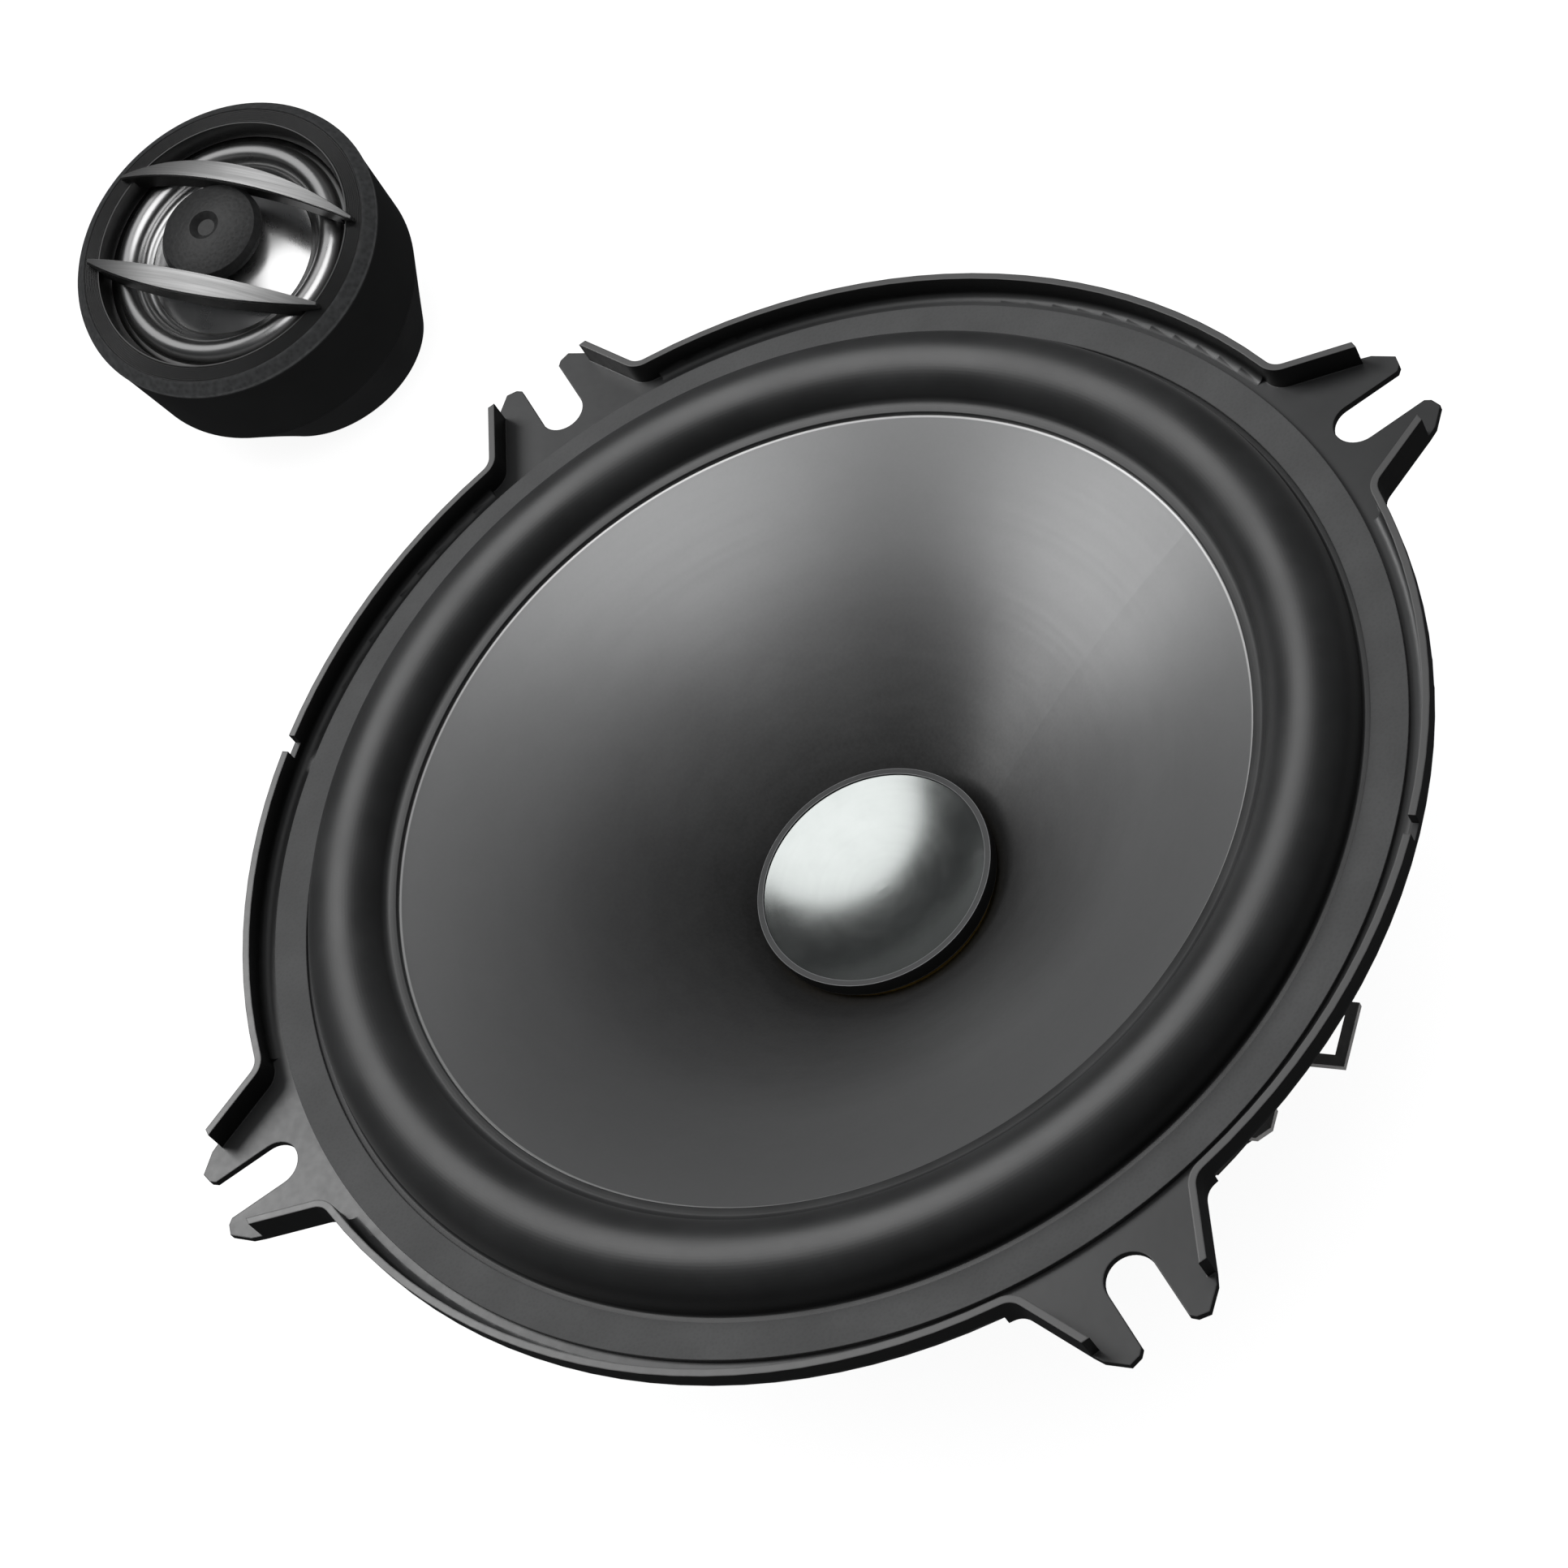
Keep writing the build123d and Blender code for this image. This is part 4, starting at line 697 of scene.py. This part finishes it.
# ---------------------------------------------------------------- spider
SPIDER_WAVES = 5
SPIDER_WAVE_HEIGHT = 0.9
SPIDER_WAVE_R = (15.2, 34.8)
SPIDER_RIM_R = 38.5
SPIDER_COLLAR_R = 13.02
SPIDER_Z = EAR_TOP - 22.0
SPIDER_THICKNESS = 0.4
SPIDER_COLLAR_DROP = 1.2
WAVE_STEPS = 120
wave_line = []
for step in range(WAVE_STEPS + 1):
    share = step / WAVE_STEPS
    wave_radius = SPIDER_WAVE_R[0] + (SPIDER_WAVE_R[1] - SPIDER_WAVE_R[0]) * share
    wave_line.append((wave_radius, SPIDER_Z + SPIDER_WAVE_HEIGHT * math.sin(TURN * SPIDER_WAVES * share)))
spider_profile = [
    (SPIDER_COLLAR_R, SPIDER_Z - SPIDER_COLLAR_DROP),
    (SPIDER_COLLAR_R + SPIDER_THICKNESS, SPIDER_Z - SPIDER_COLLAR_DROP),
    (SPIDER_COLLAR_R + SPIDER_THICKNESS, SPIDER_Z - 0.15),
    (SPIDER_COLLAR_R + SPIDER_THICKNESS + 0.15, SPIDER_Z),
    *wave_line,
    (SPIDER_RIM_R, SPIDER_Z),
    (SPIDER_RIM_R, SPIDER_Z + SPIDER_THICKNESS),
    *[(radius, height + SPIDER_THICKNESS) for radius, height in reversed(wave_line)],
    (SPIDER_COLLAR_R + 0.2, SPIDER_Z + SPIDER_THICKNESS),
    (SPIDER_COLLAR_R, SPIDER_Z + SPIDER_THICKNESS - 0.15),
]
spider = lathe("spider_disc", WOOFER, spider_profile, 240)
spider.data.materials.append(spider_cloth())
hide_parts("spider")
radial_blend(spider, "woofer_frame", "woofer_cone", WOOFER, SPIDER_WAVE_R[1], SPIDER_WAVE_R[0])

# ---------------------------------------------------------------- leads from the tabs to the cone
LEAD_R = 0.6
LEAD_STRANDS = 3
LEAD_PITCH = 2.4
LEAD_HEIGHTS = (3.0, 3.6, 2.0, -1.31, -0.71)
LEADS = {
    "tinsel_lead_plus": [(49.4, -15.1), (45.0, -13.6), (38.0, -10.1), (28.0, -5.0), (20.0, -2.0)],
    "tinsel_lead_minus": [(46.9, -25.0), (41.0, -25.2), (34.0, -23.4), (24.0, -16.0), (16.0, -12.0)],
}
braid = tinsel_braid()
leads = []
for lead_name, spots in LEADS.items():
    route = [TERMINALS @ (Vector((u, v, height)) * MM) for (u, v), height in zip(spots, LEAD_HEIGHTS)]
    lead = twisted_lead(lead_name + "_strands", route, LEAD_R, LEAD_STRANDS, LEAD_PITCH)
    lead.data.materials.append(braid)
    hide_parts(lead_name)
    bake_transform(lead, "woofer_frame", "woofer_cone", start=route[1], end=route[-1])
    leads.append(lead)

# ---------------------------------------------------------------- grommet under the tweeter
GROMMET_R = (1.4, 2.57, 3.6)  # bore, neck and flange
GROMMET_Z = (0.05, 2.0, 2.8)  # foot, underside of the flange and top
grommet_profile = rounded(
    [
        (GROMMET_R[0], GROMMET_Z[0]),
        (GROMMET_R[1], GROMMET_Z[0]),
        (GROMMET_R[1], GROMMET_Z[1]),
        (GROMMET_R[2], GROMMET_Z[1]),
        (GROMMET_R[2], GROMMET_Z[2]),
        (GROMMET_R[0], GROMMET_Z[2]),
    ],
    0.3,
)
grommet = lathe("lead_grommet_bush", FOOT, grommet_profile, 96)
grommet.data.materials.append(grommet_rubber())
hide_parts("lead_grommet")
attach(grommet, "tweeter_base")

# ---------------------------------------------------------------- tweeter's foil edge
EDGE_CENTRE = (15.3, -1.75)
EDGE_R = 1.75
FOIL = 0.15
EDGE_LAND = (19.6, -1.85)
EDGE_NECK_R = 13.2
DOME_LAND = (12.05, -2.5)
DOME_LAND_OUTER_R = 12.75
edge_profile = [
    (EDGE_LAND[0], EDGE_LAND[1] - FOIL),
    EDGE_LAND,
    (EDGE_CENTRE[0] + EDGE_R + 0.12, EDGE_LAND[1]),
    *arc(EDGE_CENTRE, EDGE_R, 2, 178, 40),
    (EDGE_NECK_R + 0.22, -2.0),
    (EDGE_NECK_R, -2.25),
    (EDGE_NECK_R - 0.2, -2.4),
    (DOME_LAND_OUTER_R, DOME_LAND[1]),
    DOME_LAND,
    (DOME_LAND[0], DOME_LAND[1] - FOIL),
    (DOME_LAND_OUTER_R, DOME_LAND[1] - FOIL),
    (EDGE_NECK_R - 0.1, -2.42),
    (EDGE_NECK_R + 0.35, -2.05),
    *arc(EDGE_CENTRE, EDGE_R - FOIL, 178, 2, 40),
    (EDGE_CENTRE[0] + EDGE_R - FOIL + 0.1, EDGE_LAND[1] - FOIL),
]
edge_roll = lathe("tweeter_edge_roll", RIM, edge_profile, 256)
edge_roll.data.materials.append(bright_foil("roll_foil", 0.62, (0.27, 0.33)))
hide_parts("tweeter_surround")
radial_blend(edge_roll, "tweeter_head", "tweeter_diaphragm", RIM, EDGE_CENTRE[0] + EDGE_R, EDGE_NECK_R)

# ---------------------------------------------------------------- floor, light and camera
REACH = 6.0  # metres from the middle to each side of the floor
FLOOR_DROP = 0.1 * MM
floor_mesh = bpy.data.meshes.new("floor")
corners = [(-REACH, -REACH, 0), (REACH, -REACH, 0), (REACH, REACH, 0), (-REACH, REACH, 0)]
floor_mesh.from_pydata(corners, [], [(0, 1, 2, 3)])
floor = bpy.data.objects.new("floor", floor_mesh)
floor.location.z = -FLOOR_DROP
bpy.context.scene.collection.objects.link(floor)
floor_finish = Finish("pale_floor")
floor_tone = floor_finish.blend(floor_finish.noise(4, 3), grey(0.86), grey(0.9))
floor_finish.shader.inputs["Emission Color"].default_value = (1, 1, 1, 1)
floor_mesh.materials.append(
    floor_finish.done(floor_tone, 0.9, None, Specular_IOR_Level=0.1, Emission_Strength=0.92)
)
floor.visible_glossy = False

world = bpy.data.worlds.new("studio")
world.use_nodes = True
background = world.node_tree.nodes["Background"].inputs
background["Color"].default_value = (0.95, 0.97, 1.0, 1)
background["Strength"].default_value = 0.04
bpy.context.scene.world = world

AIM = Vector((0.0, 0.045, 0.03))  # metres, near the middle of the set


def softbox(name, direction, distance, width, height, power, lights, shape="RECTANGLE"):
    """A flat lamp that faces the set from a direction and lights only some pieces."""
    lamp = bpy.data.lights.new(name, "AREA")
    lamp.shape = shape
    lamp.size = width
    lamp.size_y = height
    lamp.energy = power
    made = bpy.data.objects.new(name, lamp)
    towards = Vector(direction).normalized()
    made.location = AIM + towards * distance
    made.rotation_euler = towards.to_track_quat("Z", "Y").to_euler()
    bpy.context.scene.collection.objects.link(made)
    receivers = bpy.data.collections.new(name + "_receivers")
    for piece in lights:
        receivers.objects.link(piece)
    made.light_linking.receiver_collection = receivers


TWEETER_NAMES = ("tweeter", "guard", "mounting", "base_plate", "lead_grommet")
foil_pieces = [nodes["tweeter_dome"], edge_roll]
tweeter_pieces = [nodes[name] for name in nodes if name.startswith(TWEETER_NAMES)] + [edge_roll, grommet]
pod_pieces = [piece for piece in tweeter_pieces if piece not in foil_pieces]
cap_pieces = [nodes["dust_cap"], nodes["dust_cap_ring"], nodes["voice_coil_former"]]
cone_pieces = [nodes["cone"]]
rubber_pieces = [surround, gasket]
frame_pieces = [piece for piece in nodes.values() if piece not in tweeter_pieces + cap_pieces + cone_pieces]
frame_pieces += [spider, *leads]

softbox("cone_overhead", (-0.06, -0.08, 0.99), 0.95, 0.45, 0.5, 2.05, cone_pieces)
softbox("cone_left", (-0.62, 0.48, 0.62), 0.95, 0.5, 0.6, 3.2, cone_pieces)
softbox("cone_fill", (0.0, 0.1, 1.0), 0.95, 1.4, 1.4, 2.7, cone_pieces)
softbox("frame_sheen", (-0.42, 0.55, 0.72), 0.95, 0.45, 0.45, 5.0, frame_pieces)
softbox("frame_fill", (0.0, 0.1, 1.0), 0.95, 1.2, 1.2, 2.2, frame_pieces)
softbox("rubber_sheen", (-0.1, 0.3, 0.9), 0.95, 0.9, 0.9, 10.0, rubber_pieces)
softbox("cap_white", (0.0, -0.09, 1.0), 0.8, 1.15, 1.3, 6.0, cap_pieces, "ELLIPSE")
softbox("tweeter_key", (-0.13, 0.36, 0.9), 0.8, 1.0, 0.7, 3.6, pod_pieces)
softbox("foil_key", (0.30, -0.28, 0.9), 0.8, 0.85, 0.7, 2.7, foil_pieces, "ELLIPSE")
softbox("foil_fill", (-0.13, 0.45, 0.88), 0.8, 0.7, 0.5, 0.7, foil_pieces)
softbox("floor_wash", (0.0, 0.0, 1.0), 1.3, 1.6, 1.6, 5.0, [floor])

EYE = Vector((9.99, -241.95, 348.02))
FORWARD = Vector((-0.0309, 0.6330, -0.7735))
IMAGE_UP = Vector((0.5658, 0.6490, 0.5086))
camera = bpy.data.cameras.new("camera")
camera.lens = 83.41
camera.sensor_width = 36
camera.clip_start = 0.01
view = bpy.data.objects.new("camera", camera)
view.matrix_world = placed(FORWARD.cross(IMAGE_UP).normalized(), -FORWARD.normalized(), EYE)
bpy.context.scene.collection.objects.link(view)
bpy.context.scene.camera = view
bpy.context.scene.view_settings.view_transform = "Standard"
